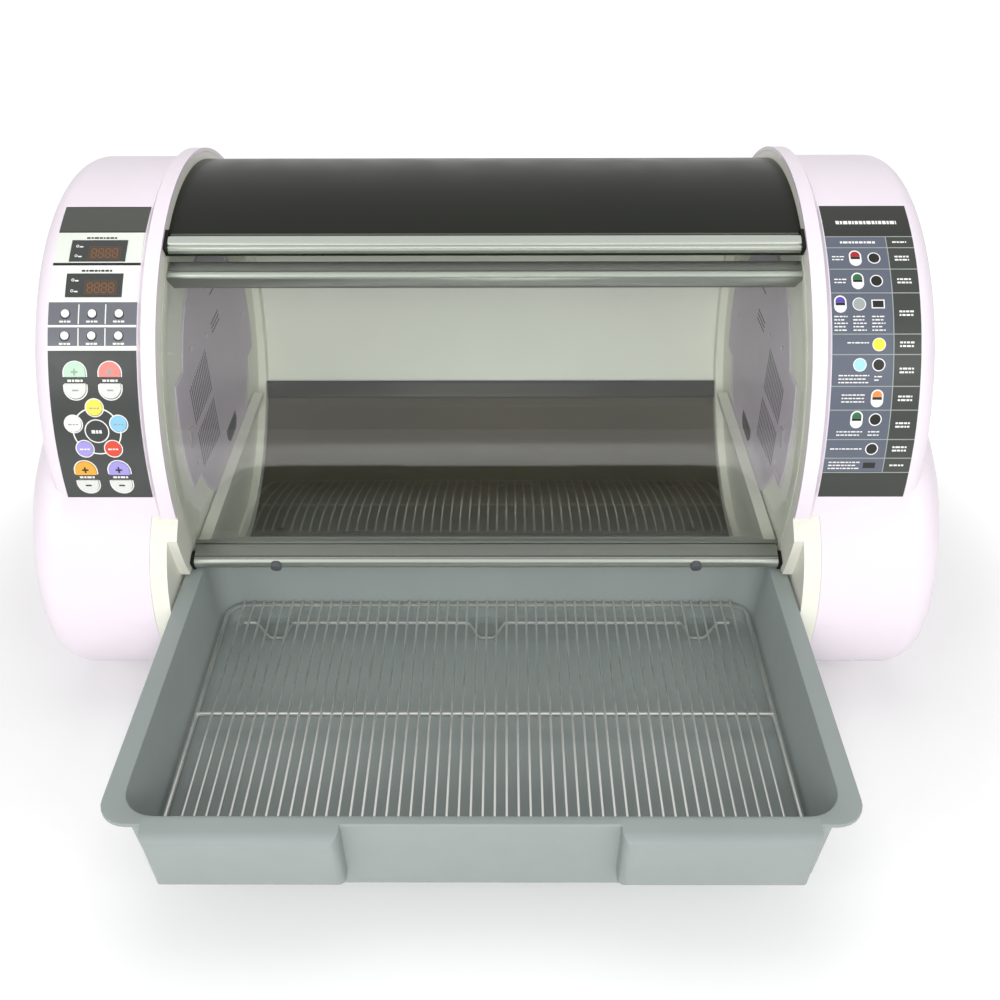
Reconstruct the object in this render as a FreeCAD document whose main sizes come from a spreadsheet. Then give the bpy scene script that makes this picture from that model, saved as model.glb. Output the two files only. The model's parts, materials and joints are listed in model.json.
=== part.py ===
"""Veterinary incubator: a clear-doored drum chamber between two control pods, with a pull-out tray.

Millimetres. The chamber is a drum whose axis lies along X. Every sub-part is drawn about that
axis (Y = 0, Z = 0 on the axis, front towards -Y) and then carried to the object's frame, whose
origin is the centre of the footprint on the bench.
"""
import FreeCAD, Part
import Sketcher
import math
import os
import re

Vector = FreeCAD.Vector
Rotation = FreeCAD.Rotation
Placement = FreeCAD.Placement

# Driving dimensions, each written once, in millimetres or degrees.
SIZES = {
    # chamber and its two end rings
    "half_opening": 320.0,
    "wall_plane": 330.0,
    "wall_plate": 4.0,
    "ring_radius": 256.0,
    "ring_inner": 230.0,
    "step_radius": 275.0,
    "clearance": 0.3,
    # housings
    "drum_radius": 251.5,
    "drum_end": 449.0,
    "drum_round": 22.0,
    "flange_radius": 260.5,
    "flange_width": 14.5,
    "flange_blend": 6.0,
    "parting": 348.0,
    "shell_wall": 3.5,
    "pod_end": 476.0,
    "pod_round": 34.0,
    "pod_shoulder": 436.0,
    "pod_front_radius": 123.0,
    "pod_front_back": 182.0,
    "pod_front_drop": 133.0,
    "pod_swell": 60.0,
    "pod_rear": 256.0,
    "pod_rear_radius": 80.0,
    "pod_crown_radius": 60.0,
    "foot_height": 6.0,
    "foot_radius": 14.0,
    # curved sheets across the chamber
    "cover_radius": 248.4,
    "cover_wall": 3.0,
    "cover_start": 57.5,
    "cover_stop": 150.0,
    "rear_panel_stop": 214.0,
    "shell_radius": 246.0,
    "shell_sheet": 2.5,
    "shell_start": 220.5,
    "shell_stop": 298.0,
    "rear_rail_radius": 250.0,
    "rear_rail_depth": 11.0,
    "hood_rail_radius": 257.5,
    "hood_rail_start": 57.6,
    "hood_rail_stop": 62.9,
    "header_radius": 236.5,
    "header_depth": 7.0,
    "header_start": 50.8,
    "header_stop": 57.4,
    "sill_radius": 233.0,
    "sill_depth": 5.0,
    "sill_start": -26.2,
    "sill_stop": -20.8,
    "end_cap": 3.6,
    # door
    "door_radius": 242.0,
    "door_wall": 3.0,
    "door_edge": 324.0,
    "door_start": -25.0,
    "door_stop": 64.0,
    "door_rail_outer": 266.0,
    "door_rail_start": -24.0,
    "door_rail_stop": -20.9,
    "bumper_radius": 5.0,
    "bumper_offset": 227.0,
    "groove_gap": 0.7,
    # tray
    "tray_travel": 330.0,
    "tray_top": 108.8,
    "tray_flange": 4.0,
    "tray_flange_half": 326.6,
    "tray_half": 308.0,
    "tray_floor_half": 289.0,
    "tray_floor": 205.0,
    "tray_wall": 3.0,
    "tray_front": 239.0,
    "tray_rear": 124.0,
    "tray_draft": 8.0,
    "tray_corner": 30.0,
    "flange_front": 249.0,
    "flange_rear": 148.0,
    "grip_inner": 119.0,
    "grip_outer": 286.0,
    "grip_front": 268.0,
    "grip_depth": 76.0,
    "runner_width": 13.5,
    "runner_depth": 8.0,
    # wire rack
    "rack_top": 176.0,
    "rack_half": 284.0,
    "rack_wire": 2.6,
    "rack_rod": 5.0,
    "rack_pitch": 10.8,
    "rack_margin": 12.0,
    "rack_corner": 20.0,
    "rack_dip": 12.0,
    # controls
    "label_inner": 341.5,
    "label_outer": 428.5,
    "label_sheet": 1.0,
    "label_top": 71.2,
    "label_bottom": -1.0,
    "key_radius": 8.0,
    "key_centre_radius": 10.5,
    "key_rise": 1.0,
    "key_stem": 2.4,
    "key_gap": 0.35,
    "key_travel": 0.5,
    "capsule_width": 21.0,
    "capsule_length": 36.0,
    "capsule_gap": 6.4,
    "lamp_radius": 4.0,
    "window_width": 56.0,
    "window_height": 25.0,
    # circulation and supply
    "vent_radius": 158.0,
    "vent_ear_radius": 185.0,
    "vent_ear_half": 58.0,
    "vent_bottom": 140.0,
    "vent_back": 20.0,
    "vent_plate": 1.7,
    "slot_width": 3.0,
    "slot_length": 44.0,
    "slot_pitch": 7.5,
    "slot_count": 13.0,
    "slot_bridge": 5.0,
    "duct_radius": 60.0,
    "duct_back": -66.0,
    "duct_drop": 9.0,
    "fan_radius": 58.0,
    "fan_depth": 32.0,
    "fan_hub": 20.0,
    "fan_blades": 7.0,
}

doc = FreeCAD.newDocument("Incubator")
sheet = doc.addObject("Spreadsheet::Sheet", "Dims")
for row, (alias, number) in enumerate(SIZES.items(), start=1):
    sheet.set(f"A{row}", alias)
    sheet.set(f"B{row}", str(number))
    sheet.setAlias(f"B{row}", alias)
doc.recompute()

NODES = {}


def dim(alias):
    """One driving dimension, read from the sheet."""
    return float(sheet.get(alias))


def expr(text):
    """Expression text with every alias pointed at the sheet."""
    return re.sub(r"[a-z]+(?:_[a-z]+)*", lambda found: "Dims." + found.group(0), text)


POD_BOTTOM = dim("pod_front_drop") + dim("pod_front_radius")
AXIS_HEIGHT = POD_BOTTOM + dim("foot_height")
TRAY_OUT = dim("tray_travel")
REAR_PROUD = 4.0
AXIS_BACK = (dim("grip_front") + TRAY_OUT - dim("pod_rear") - REAR_PROUD) / 2
AXIS = Vector(0, AXIS_BACK, AXIS_HEIGHT)


def node(obj, label):
    """Register a finished sub-part under its node name and carry it from the axis to its place."""
    obj.Label = label
    base = obj.Placement
    obj.Placement = Placement(base.Base + AXIS, base.Rotation)
    NODES[label] = obj
    return obj


def polar(radius, phi):
    """Sketch point on a circle about the axis; phi runs from the front horizontal upwards."""
    angle = math.radians(180.0 - phi)
    return Vector(radius * math.cos(angle), radius * math.sin(angle), 0)


def arc(radius, start, stop, centre=(0.0, 0.0)):
    """Circular arc, angles in degrees, counter-clockwise in the sketch."""
    circle = Part.Circle(Vector(centre[0], centre[1], 0), Vector(0, 0, 1), radius)
    return Part.ArcOfCircle(circle, math.radians(start), math.radians(stop))


def line(first, second):
    """Straight edge between two sketch points."""
    return Part.LineSegment(Vector(first[0], first[1], 0), Vector(second[0], second[1], 0))


def loop(points):
    """Closed run of straight edges through the points."""
    return [line(points[i - 1], points[i]) for i in range(len(points))]


def rounded_box(x_low, x_high, y_low, y_high, radius):
    """Closed outline of a rectangle with rounded corners."""
    edges = []
    corners = ((x_high, y_high, 0), (x_low, y_high, 90), (x_low, y_low, 180), (x_high, y_low, 270))
    for x, y, turn in corners:
        x_mid = x - radius if x == x_high else x + radius
        y_mid = y - radius if y == y_high else y + radius
        edges.append(arc(radius, turn, turn + 90, (x_mid, y_mid)))
    edges.append(line((x_high - radius, y_high), (x_low + radius, y_high)))
    edges.append(line((x_low, y_high - radius), (x_low, y_low + radius)))
    edges.append(line((x_low + radius, y_low), (x_high - radius, y_low)))
    edges.append(line((x_high, y_low + radius), (x_high, y_high - radius)))
    return edges


def origin_plane(body, role):
    """Origin plane of a body, found by its role."""
    return next(item for item in body.Origin.OriginFeatures if item.Role == role)


def new_body(name):
    """Empty design body."""
    return doc.addObject("PartDesign::Body", name)


def sketch_in(body, role, edges, offset=0.0, name="Profile"):
    """Sketch on one of the body's own origin planes."""
    sketch = body.newObject("Sketcher::SketchObject", name)
    sketch.AttachmentSupport = [(origin_plane(body, role), "")]
    sketch.MapMode = "FlatFace"
    sketch.AttachmentOffset = Placement(Vector(0, 0, offset), Rotation())
    for edge in edges:
        sketch.addGeometry(edge, False)
    return sketch


def add_pad(body, sketch, length, middle=False):
    """Pad a sketch by an expression length."""
    pad = body.newObject("PartDesign::Pad", "Pad")
    pad.Profile = sketch
    pad.Midplane = middle
    pad.setExpression("Length", expr(length))
    doc.recompute()
    return pad


def round_edges(body, feature, radius, wanted):
    """Fillet the edges of a feature that the test picks."""
    names = [f"Edge{i}" for i, edge in enumerate(feature.Shape.Edges, start=1) if wanted(edge)]
    fillet = body.newObject("PartDesign::Fillet", "Fillet")
    fillet.Base = (feature, names)
    fillet.Radius = radius
    doc.recompute()
    return fillet


def along_x(edge):
    """True for a straight edge that runs the length of an extrusion across the chamber."""
    ends = [vertex.Point for vertex in edge.Vertexes]
    if len(ends) != 2:
        return False
    step = ends[1] - ends[0]
    return abs(step.x) > 1 and abs(step.y) < 1e-6 and abs(step.z) < 1e-6


def band_edges(inner, outer, start, stop):
    """Outline of a curved band about the axis between two radii and two angles."""
    low, high = 180.0 - stop, 180.0 - start
    return [
        arc(outer, low, high),
        line(polar(outer, start), polar(inner, start)),
        arc(inner, low, high),
        line(polar(inner, stop), polar(outer, stop)),
    ]


def band(label, outer, wall, start, stop, length, soften=0.0):
    """Curved sheet or rail: a band about the axis, as long as the expression says, about X = 0."""
    body = new_body(label)
    inner = dim(outer) - dim(wall)
    sketch = sketch_in(body, "YZ_Plane", band_edges(inner, dim(outer), start, stop))
    sketch.addConstraint(Sketcher.Constraint("Coincident", 0, 3, -1, 1))
    sketch.addConstraint(Sketcher.Constraint("Coincident", 2, 3, -1, 1))
    number = sketch.addConstraint(Sketcher.Constraint("Radius", 0, dim(outer)))
    sketch.setExpression(f"Constraints[{number}]", expr(outer))
    pad = add_pad(body, sketch, length, middle=True)
    if soften:
        round_edges(body, pad, soften, along_x)
    return body


def disc(name, radius, start, stop):
    """Cylinder along X between two stations, all three given as expressions."""
    cylinder = doc.addObject("Part::Cylinder", name)
    cylinder.Placement = Placement(Vector(), Rotation(Vector(0, 1, 0), 90))
    cylinder.setExpression("Radius", expr(radius))
    cylinder.setExpression("Height", expr(f"({stop}) - ({start})"))
    cylinder.setExpression("Placement.Base.x", expr(start))
    return cylinder


def block(name, low, high):
    """Box between two corners given as numbers."""
    box = doc.addObject("Part::Box", name)
    box.Length = high[0] - low[0]
    box.Width = high[1] - low[1]
    box.Height = high[2] - low[2]
    box.Placement.Base = Vector(*low)
    return box


def fuse(name, *pieces):
    """Union of several pieces."""
    joined = doc.addObject("Part::MultiFuse", name)
    joined.Shapes = list(pieces)
    return joined


def cut(name, base, *tools):
    """A piece with one or more tools taken away."""
    tool = tools[0] if len(tools) == 1 else fuse(name + "_tools", *tools)
    carved = doc.addObject("Part::Cut", name)
    carved.Base = base
    carved.Tool = tool
    carved.Refine = False
    return carved


def group(label, pieces):
    """Several like solids kept as one node."""
    bundle = doc.addObject("Part::Compound", label)
    bundle.Links = pieces
    return node(bundle, label)


def mirror_node(source, label):
    """The same piece on the other side of the middle plane X = 0."""
    twin = doc.addObject("Part::Mirroring", label)
    twin.Source = source
    twin.Normal = Vector(1, 0, 0)
    twin.Label = label
    NODES[label] = twin
    return twin


# Housings, their inner frames and the vent covers.

def pod_outline(grow=0.0, swell=0.0):
    """Side outline of the lower pod, grown by a margin; swell raises the upper front curve."""
    back, drop = dim("pod_front_back"), dim("pod_front_drop")
    radius, rear = dim("pod_front_radius"), dim("pod_rear")
    corner, bottom = dim("pod_rear_radius"), POD_BOTTOM
    crest = radius + swell - drop
    crown = dim("pod_crown_radius")
    return [
        arc(radius + swell + grow, 90, 180, (swell - back, -drop)),
        arc(radius + grow, 180, 270, (-back, -drop)),
        line((-back, -bottom - grow), (rear - corner, -bottom - grow)),
        arc(corner + grow, 270, 360, (rear - corner, corner - bottom)),
        line((rear + grow, corner - bottom), (rear + grow, crest - crown)),
        arc(crown + grow, 0, 90, (rear - crown, crest - crown)),
        line((rear - crown, crest + grow), (swell - back, crest + grow)),
    ]


def pod_prism(name, grow, start, stop):
    """Straight slab with the pod's side outline between two X stations."""
    body = new_body(name)
    sketch = sketch_in(body, "YZ_Plane", pod_outline(grow))
    add_pad(body, sketch, f"({stop}) - ({start})")
    body.setExpression("Placement.Base.x", expr(start))
    return body


def pod_dome(name, inset):
    """The pod outside the parting line: a flank lofted to a fuller outline, then a rounded end."""
    swell, shoulder, end = dim("pod_swell"), dim("pod_shoulder"), dim("pod_end") - inset
    flank = new_body(name + "_flank")
    near = sketch_in(flank, "YZ_Plane", pod_outline(-inset), dim("parting"), "Near")
    far = sketch_in(flank, "YZ_Plane", pod_outline(-inset, swell), shoulder, "Far")
    loft = flank.newObject("PartDesign::AdditiveLoft", "Loft")
    loft.Profile = near
    loft.Sections = [far]
    loft.Ruled = True
    dome = new_body(name + "_end")
    outline = sketch_in(dome, "YZ_Plane", pod_outline(-inset, swell), shoulder, "Outline")
    pad = add_pad(dome, outline, f"pod_end - {inset} - pod_shoulder")
    round_edges(dome, pad, dim("pod_round") - inset,
                lambda edge: edge.BoundBox.XMin > end - 1e-3)
    return fuse(name, flank, dome)


def drum_solid(name, inset):
    """The drum outside the end ring, its outer edge rounded over."""
    drum = disc(name + "_core", f"drum_radius - {inset}", "half_opening + flange_width",
                f"drum_end - {inset}")
    doc.recompute()
    edges = []
    for i, edge in enumerate(drum.Shape.Edges, start=1):
        if edge.BoundBox.XMin > dim("drum_end") - inset - 1e-3:
            edges.append((i, dim("drum_round") - inset, dim("drum_round") - inset))
    rounded = doc.addObject("Part::Fillet", name)
    rounded.Base = drum
    rounded.Edges = edges
    return rounded


def housing_flange():
    """Raised collar round the end ring, running out to the drum in a short cone."""
    collar = disc("collar", "flange_radius", "half_opening", "half_opening + flange_width")
    cone = doc.addObject("Part::Cone", "collar_blend")
    cone.Placement = Placement(Vector(), Rotation(Vector(0, 1, 0), 90))
    cone.setExpression("Radius1", expr("flange_radius"))
    cone.setExpression("Radius2", expr("drum_radius"))
    cone.setExpression("Height", expr("flange_blend"))
    cone.setExpression("Placement.Base.x", expr("half_opening + flange_width"))
    whole = fuse("collar_whole", collar, cone)
    bore = disc("collar_bore", "ring_radius + clearance", "half_opening - 1",
                "half_opening + flange_width")
    reach = dim("flange_radius") + 10
    below = block("collar_below", (dim("half_opening") - 5, -reach, -reach),
                  (dim("parting") + 15, reach, dim("pod_front_radius") - dim("pod_front_drop") - 18))
    return cut("housing_flange", whole, bore, below)


def housings():
    """Right housing shell, hollow and open towards the chamber, and its mirror twin."""
    wall = dim("shell_wall")
    outside = fuse("housing_outside", drum_solid("drum", 0.0), pod_dome("pod", 0.0),
                   housing_flange())
    inside = fuse("housing_inside", drum_solid("drum_hollow", wall), pod_dome("pod_hollow", wall),
                  disc("drum_mouth", f"drum_radius - {wall}", "half_opening + flange_width - 1",
                       "parting + 1"))
    seat = pod_prism("housing_seat", dim("clearance"), "half_opening - 1", "parting")
    shell = cut("housing_shell", outside, inside, seat)
    doc.recompute()
    twin = doc.addObject("Part::Mirroring", "housing_twin")
    twin.Source = shell
    twin.Normal = Vector(1, 0, 0)
    node(cut("housing_right", shell, *supply_openings()), "right_housing")
    node(cut("housing_left", twin, keypad_recess()), "left_housing")


def keypad_recess():
    """Sunk floor under the overlay, where the key stems travel."""
    margin = 6.0
    depth = dim("key_stem") - dim("label_sheet") + dim("key_travel") + 0.5
    return plate_on_drum("keypad_recess", margin - dim("label_outer"),
                         -margin - dim("label_inner"), dim("label_bottom") + 0.4,
                         KEYPAD_TOP, dim("drum_radius") - depth, depth + 1.0)


def supply_openings():
    """Two openings in the back of the right pod, for the mains inlet and the rocker switch."""
    rear = dim("pod_rear")
    gap = dim("clearance")
    inlet = block("inlet_opening", (INLET_X - 24 - gap, rear - 30, INLET_Z - 14 - gap),
                  (INLET_X + 24 + gap, rear + 10, INLET_Z + 14 + gap))
    rocker = block("rocker_opening", (INLET_X - 13.5 - gap, rear - 30, ROCKER_Z - 10 - gap),
                   (INLET_X + 13.5 + gap, rear + 10, ROCKER_Z + 10 + gap))
    return inlet, rocker


KEYPAD_TOP = 33.0
DUCT = Vector(0, dim("duct_back"), -dim("duct_drop"))
SENSOR = (28.0, -86.0)
INLET_X = 410.0
INLET_Z = -140.0
ROCKER_Z = -95.0
ROCKER_TILT = 7.0
ROCKER_PIN = 1.5


def slot_tunnel():
    """Passage in the end frame for the tray's flange and the runner beneath it."""
    half = dim("wall_plane")
    top = -dim("tray_top") + 2.5
    low = -dim("tray_top") - dim("tray_flange") - dim("runner_depth") - 1.0
    return block("tray_slot", (half - 40, -320, low), (half, dim("flange_rear") + 6, top))


def inner_frames():
    """Right end frame: wall plate, stepped ring with the door groove, and its mirror twin."""
    plate = pod_prism("frame_plate", 0.0, "wall_plane", "parting - clearance")
    ring = disc("frame_ring", "ring_radius", "half_opening",
                "half_opening + flange_width - clearance")
    neck = disc("frame_neck", "drum_radius - shell_wall - clearance", "wall_plane",
                "parting - clearance")
    step = doc.addObject("Part::Common", "frame_step")
    step.Base = disc("frame_step_disc", "step_radius", "half_opening", "wall_plane")
    step.Tool = pod_prism("frame_step_pod", 0.0, "half_opening", "wall_plane")
    whole = fuse("frame_whole", plate, ring, neck, step)
    mouth = disc("frame_mouth", "ring_inner", "half_opening - 1", "wall_plane")
    hollow = pod_prism("frame_hollow", -dim("wall_plate"), "wall_plane + wall_plate", "parting + 1")
    hollow_disc = disc("frame_hollow_disc", "ring_radius - wall_plate - 6",
                       "wall_plane + wall_plate", "parting + 1")
    duct = disc("frame_duct", "duct_radius", "wall_plane - 1", "wall_plane + wall_plate + 1")
    duct.Placement.Base = DUCT
    sensor_hole = rod("sensor_hole", Vector(dim("wall_plane") - 1, *SENSOR),
                      Vector(dim("parting"), *SENSOR), 4.3)
    groove_body = new_body("frame_groove")
    groove_edges = band_edges(dim("door_radius") - dim("door_wall") - dim("groove_gap"),
                              dim("door_radius") + dim("groove_gap"),
                              dim("door_start") - 1.0, dim("cover_stop") - 1.0)
    add_pad(groove_body, sketch_in(groove_body, "YZ_Plane", groove_edges),
            "door_edge - half_opening + 3")
    groove_body.setExpression("Placement.Base.x", expr("half_opening - 1"))
    frame = cut("frame_right", whole, mouth, hollow, hollow_disc, duct, groove_body, slot_tunnel(),
                sensor_hole)
    right = node(frame, "right_inner_frame")
    doc.recompute()
    mirror_node(right, "left_inner_frame")


def vent_slots(near, far):
    """Two banks of upright slots in a leaning block, and a short bank for the return air."""
    slots = []
    length, pitch, wide = dim("slot_length"), dim("slot_pitch"), dim("slot_width")
    middle = (dim("slot_count") - 1) / 2
    for i in range(int(dim("slot_count"))):
        y = DUCT.y + (i - middle) * pitch - wide / 2
        lean = (i - middle) * SLOT_LEAN
        for low in (DUCT.z + dim("slot_bridge") / 2, DUCT.z - dim("slot_bridge") / 2 - length):
            slots.append(block("slot", (near, y, low + lean), (far, y + wide, low + length + lean)))
    for i in range(4):
        y = dim("vent_back") + i * pitch
        slots.append(block("short_slot", (near, y, 38.0), (far, y + 2.4, 64.0)))
    return slots


SLOT_LEAN = -0.9


def vent_covers():
    """Right vent cover: an eared plate on the chamber wall, slotted for the air."""
    back = dim("vent_back")
    face = "wall_plane - clearance - vent_plate"
    core = disc("vent_core", "vent_radius", face, "wall_plane - clearance")
    ears = disc("vent_ears", "vent_ear_radius", face, "wall_plane - clearance")
    for piece in (core, ears):
        piece.Placement.Base.y = back
    half = dim("vent_ear_half")
    reach = dim("vent_ear_radius") + 5
    near = dim("wall_plane") - dim("vent_plate") - 2
    far = dim("wall_plane") + 1
    strip = block("vent_strip", (near, back - reach, -half), (far, back + reach, half + 10))
    eared = doc.addObject("Part::Common", "vent_eared")
    eared.Base = ears
    eared.Tool = strip
    outline = fuse("vent_outline", core, eared)
    keep = block("vent_keep", (near, back - reach, -dim("vent_bottom")), (far, back + reach, reach))
    plate = doc.addObject("Part::Common", "vent_blank")
    plate.Base = outline
    plate.Tool = keep
    eye = rod("sensor_eye", Vector(near, *SENSOR), Vector(far, *SENSOR), 8.0)
    right = node(cut("vent_right", plate, eye, *vent_slots(near, far)), "right_vent_cover")
    doc.recompute()
    mirror_node(right, "left_vent_cover")


# Curved panels and rails across the chamber.

def fixed_bands():
    """Cover, rear panel, bottom shell and the fixed rails, all drawn as bands about the axis."""
    between = "2 * half_opening - 2 * clearance"
    node(band("top_cover", "cover_radius", "cover_wall", dim("cover_start"), dim("cover_stop"),
              between), "top_cover")
    node(band("rear_panel", "cover_radius", "cover_wall", dim("cover_stop") + 0.1,
              dim("rear_panel_stop"), between), "rear_panel")
    node(band("bottom_shell", "shell_radius", "shell_sheet", dim("shell_start"),
              dim("shell_stop"), between), "bottom_shell")
    node(band("rear_rail", "rear_rail_radius", "rear_rail_depth", dim("rear_panel_stop") + 0.1,
              dim("shell_start") - 0.1, between, 3.0), "rear_rail")
    node(band("front_sill", "sill_radius", "sill_depth", dim("sill_start"), dim("sill_stop"),
              between, 1.2), "front_sill")


def hood_rails():
    """Hood rail over the cover's front edge with its end caps, and the header rail below it."""
    start, stop = dim("hood_rail_start"), dim("hood_rail_stop")
    inner = dim("cover_radius") + dim("clearance")
    rail = new_body("hood_rail")
    sketch = sketch_in(rail, "YZ_Plane", band_edges(inner, dim("hood_rail_radius"), start, stop))
    pad = add_pad(rail, sketch, "2 * half_opening - 2 * end_cap - 4 * clearance", middle=True)
    round_edges(rail, pad, 2.6, along_x)
    node(rail, "hood_rail")
    caps = end_caps("hood_cap", inner, dim("hood_rail_radius"), start, stop)
    group("hood_rail_end_caps", caps)
    header = new_body("header_rail")
    depth = dim("header_radius") - dim("header_depth")
    outline = band_edges(depth, dim("header_radius"), dim("header_start"), dim("header_stop"))
    bar = add_pad(header, sketch_in(header, "YZ_Plane", outline),
                  "2 * half_opening - 2 * clearance", middle=True)
    round_edges(header, bar, 1.5, along_x)
    node(header, "header_rail")


def end_caps(name, inner, outer, start, stop):
    """Pair of moulded caps that close the two ends of a rail."""
    caps = []
    cap = dim("end_cap")
    for side in (1, -1):
        body = new_body(name)
        sketch = sketch_in(body, "YZ_Plane", band_edges(inner, outer, start, stop))
        pad = add_pad(body, sketch, "end_cap")
        round_edges(body, pad, 1.0, along_x)
        inner_face = dim("half_opening") - dim("clearance") - cap
        body.Placement.Base.x = inner_face if side > 0 else -inner_face - cap
        caps.append(body)
    return caps


# The door and what rides on it.

def door():
    """Clear curved door, its bottom rail, end caps, bumpers and the seal strip."""
    sheet_body = band("door_panel", "door_radius", "door_wall", dim("door_start"),
                      dim("door_stop"), "2 * door_edge")
    node(sheet_body, "door_panel")
    start, stop = dim("door_rail_start"), dim("door_rail_stop")
    inner, outer = dim("door_radius"), dim("door_rail_outer")
    rail = new_body("door_rail")
    pad = add_pad(rail, sketch_in(rail, "YZ_Plane", band_edges(inner, outer, start, stop)),
                  "2 * half_opening - 2 * end_cap - 4 * clearance", middle=True)
    round_edges(rail, pad, 2.2, lambda edge: along_x(edge) and radius_of(edge) > outer - 1)
    node(rail, "door_bottom_rail")
    group("door_end_caps", end_caps("door_cap", inner + 8.0, outer, start, stop))
    strip = band("door_seal", "door_radius", "door_wall", dim("door_start") - 0.8,
                 dim("door_start"), "2 * half_opening - 2 * clearance")
    node(strip, "door_seal")
    bumpers = []
    for side in (1, -1):
        stub = doc.addObject("Part::Cylinder", "bumper")
        stub.setExpression("Radius", expr("bumper_radius"))
        stub.Height = 4.0
        turn = Rotation(Vector(1, 0, 0), 90.0 - start - 1.5)
        point = polar(outer, (start + stop) / 2)
        stub.Placement = Placement(Vector(side * dim("bumper_offset"), point.x, point.y), turn)
        bumpers.append(stub)
    group("door_bumpers", bumpers)


def radius_of(edge):
    """Distance of an edge's first end from the drum axis."""
    point = edge.Vertexes[0].Point
    return math.hypot(point.y, point.z)


# The tray, its runners and the wire rack.

def tapered_block(name, top, bottom):
    """Ruled solid between two rounded rectangles; each is (half width, front, rear, corner, z)."""
    sections = []
    for half, front, rear, corner, level in (top, bottom):
        sketch = doc.addObject("Sketcher::SketchObject", name + "_section")
        sketch.Placement.Base.z = level
        for edge in rounded_box(-half, half, front, rear, corner):
            sketch.addGeometry(edge, False)
        sections.append(sketch)
    loft = doc.addObject("Part::Loft", name)
    loft.Sections = sections
    loft.Solid = True
    loft.Ruled = True
    return loft


def tray():
    """Moulded tray: drafted basin, flat flange round its rim and two hand grips in front."""
    out, wall, draft = TRAY_OUT, dim("tray_wall"), dim("tray_draft")
    top, floor = -dim("tray_top"), -dim("tray_floor")
    half, floor_half, corner = dim("tray_half"), dim("tray_floor_half"), dim("tray_corner")
    front, rear = -dim("tray_front") - out, dim("tray_rear") - out
    inside = tapered_block("basin_inside", (half, front, rear, corner, top + 0.01),
                           (floor_half, front + draft, rear - draft, corner - 6, floor))
    outside = tapered_block(
        "basin_outside",
        (half + wall, front - wall - 8, rear + wall, corner + wall, top - dim("tray_flange")),
        (floor_half + wall, front + draft - wall - 4, rear - draft + wall, corner - 3,
         floor - wall))
    flange = new_body("tray_rim")
    rim = rounded_box(-dim("tray_flange_half"), dim("tray_flange_half"),
                      -dim("flange_front") - out, dim("flange_rear") - out, 27.0)
    pad = flange.newObject("Sketcher::SketchObject", "Rim")
    pad.AttachmentSupport = [(origin_plane(flange, "XY_Plane"), "")]
    pad.MapMode = "FlatFace"
    pad.AttachmentOffset = Placement(Vector(0, 0, top - dim("tray_flange")), Rotation())
    for edge in rim:
        pad.addGeometry(edge, False)
    add_pad(flange, pad, "tray_flange")
    solid = fuse("tray_solid", outside, flange, *grips())
    node(cut("tray", solid, inside), "tray")


def grips():
    """Two hand grips that stand proud of the tray front, with the thumb recess between them."""
    pieces = []
    inner, outer = dim("grip_inner"), dim("grip_outer")
    front = -dim("grip_front") - TRAY_OUT
    top, depth = -dim("tray_top"), dim("grip_depth")
    back = -dim("tray_front") - TRAY_OUT - dim("tray_wall") - 2
    for side in (1, -1):
        low, high = (inner, outer) if side > 0 else (-outer, -inner)
        body = new_body("grip")
        outline = [(back, top), (front + 5, top), (front, top - 5),
                   (front + 9, top - depth), (back, top - depth)]
        pad = add_pad(body, sketch_in(body, "YZ_Plane", loop(outline), low),
                      "grip_outer - grip_inner")
        round_edges(body, pad, 4.0, lambda edge: edge.BoundBox.YMax < front + 9.5
                    and edge.BoundBox.XLength < 1e-6)
        pieces.append(body)
    return pieces


def runners():
    """Rails screwed to the end frames that carry the tray's side flanges."""
    rails = []
    wall = dim("wall_plane") - dim("vent_plate") - 2 * dim("clearance")
    top = -dim("tray_top") - dim("tray_flange") - dim("clearance")
    for side in (1, -1):
        near = wall - dim("runner_width")
        low = near if side > 0 else -wall
        rails.append(block("runner", (low, -dim("flange_front") + 4, top - dim("runner_depth")),
                           (low + dim("runner_width"), dim("flange_rear"), top)))
    group("tray_runners", rails)


def rod(name, start, stop, radius):
    """Straight round rod between two points."""
    cylinder = doc.addObject("Part::Cylinder", name)
    cylinder.Radius = radius
    cylinder.Height = (stop - start).Length
    cylinder.Placement = Placement(start, Rotation(Vector(0, 0, 1), stop - start))
    return cylinder


def quarter_bend(centre, start, radius):
    """Quarter turn of the rack's frame rod, lying flat, from the start angle."""
    bend = doc.addObject("Part::Torus", "rack_bend")
    bend.setExpression("Radius1", expr("rack_corner"))
    bend.Radius2 = radius
    bend.Angle3 = 90.0
    bend.Placement = Placement(centre, Rotation(Vector(0, 0, 1), start))
    return bend


def rack_frame(front, rear, half, level, radius):
    """Rod bent to a rounded rectangle, on which the wires are welded."""
    corner = dim("rack_corner")
    pieces = []
    for y in (front, rear):
        pieces.append(rod("rack_bar", Vector(corner - half, y, level),
                          Vector(half - corner, y, level), radius))
    for x in (-half, half):
        pieces.append(rod("rack_side", Vector(x, front + corner, level),
                          Vector(x, rear - corner, level), radius))
    turns = ((1, 1, 0), (-1, 1, 90), (-1, -1, 180), (1, -1, 270))
    for side, end, start in turns:
        y = rear - corner if end > 0 else front + corner
        pieces.append(quarter_bend(Vector(side * (half - corner), y, level), start, radius))
    return pieces


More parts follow.
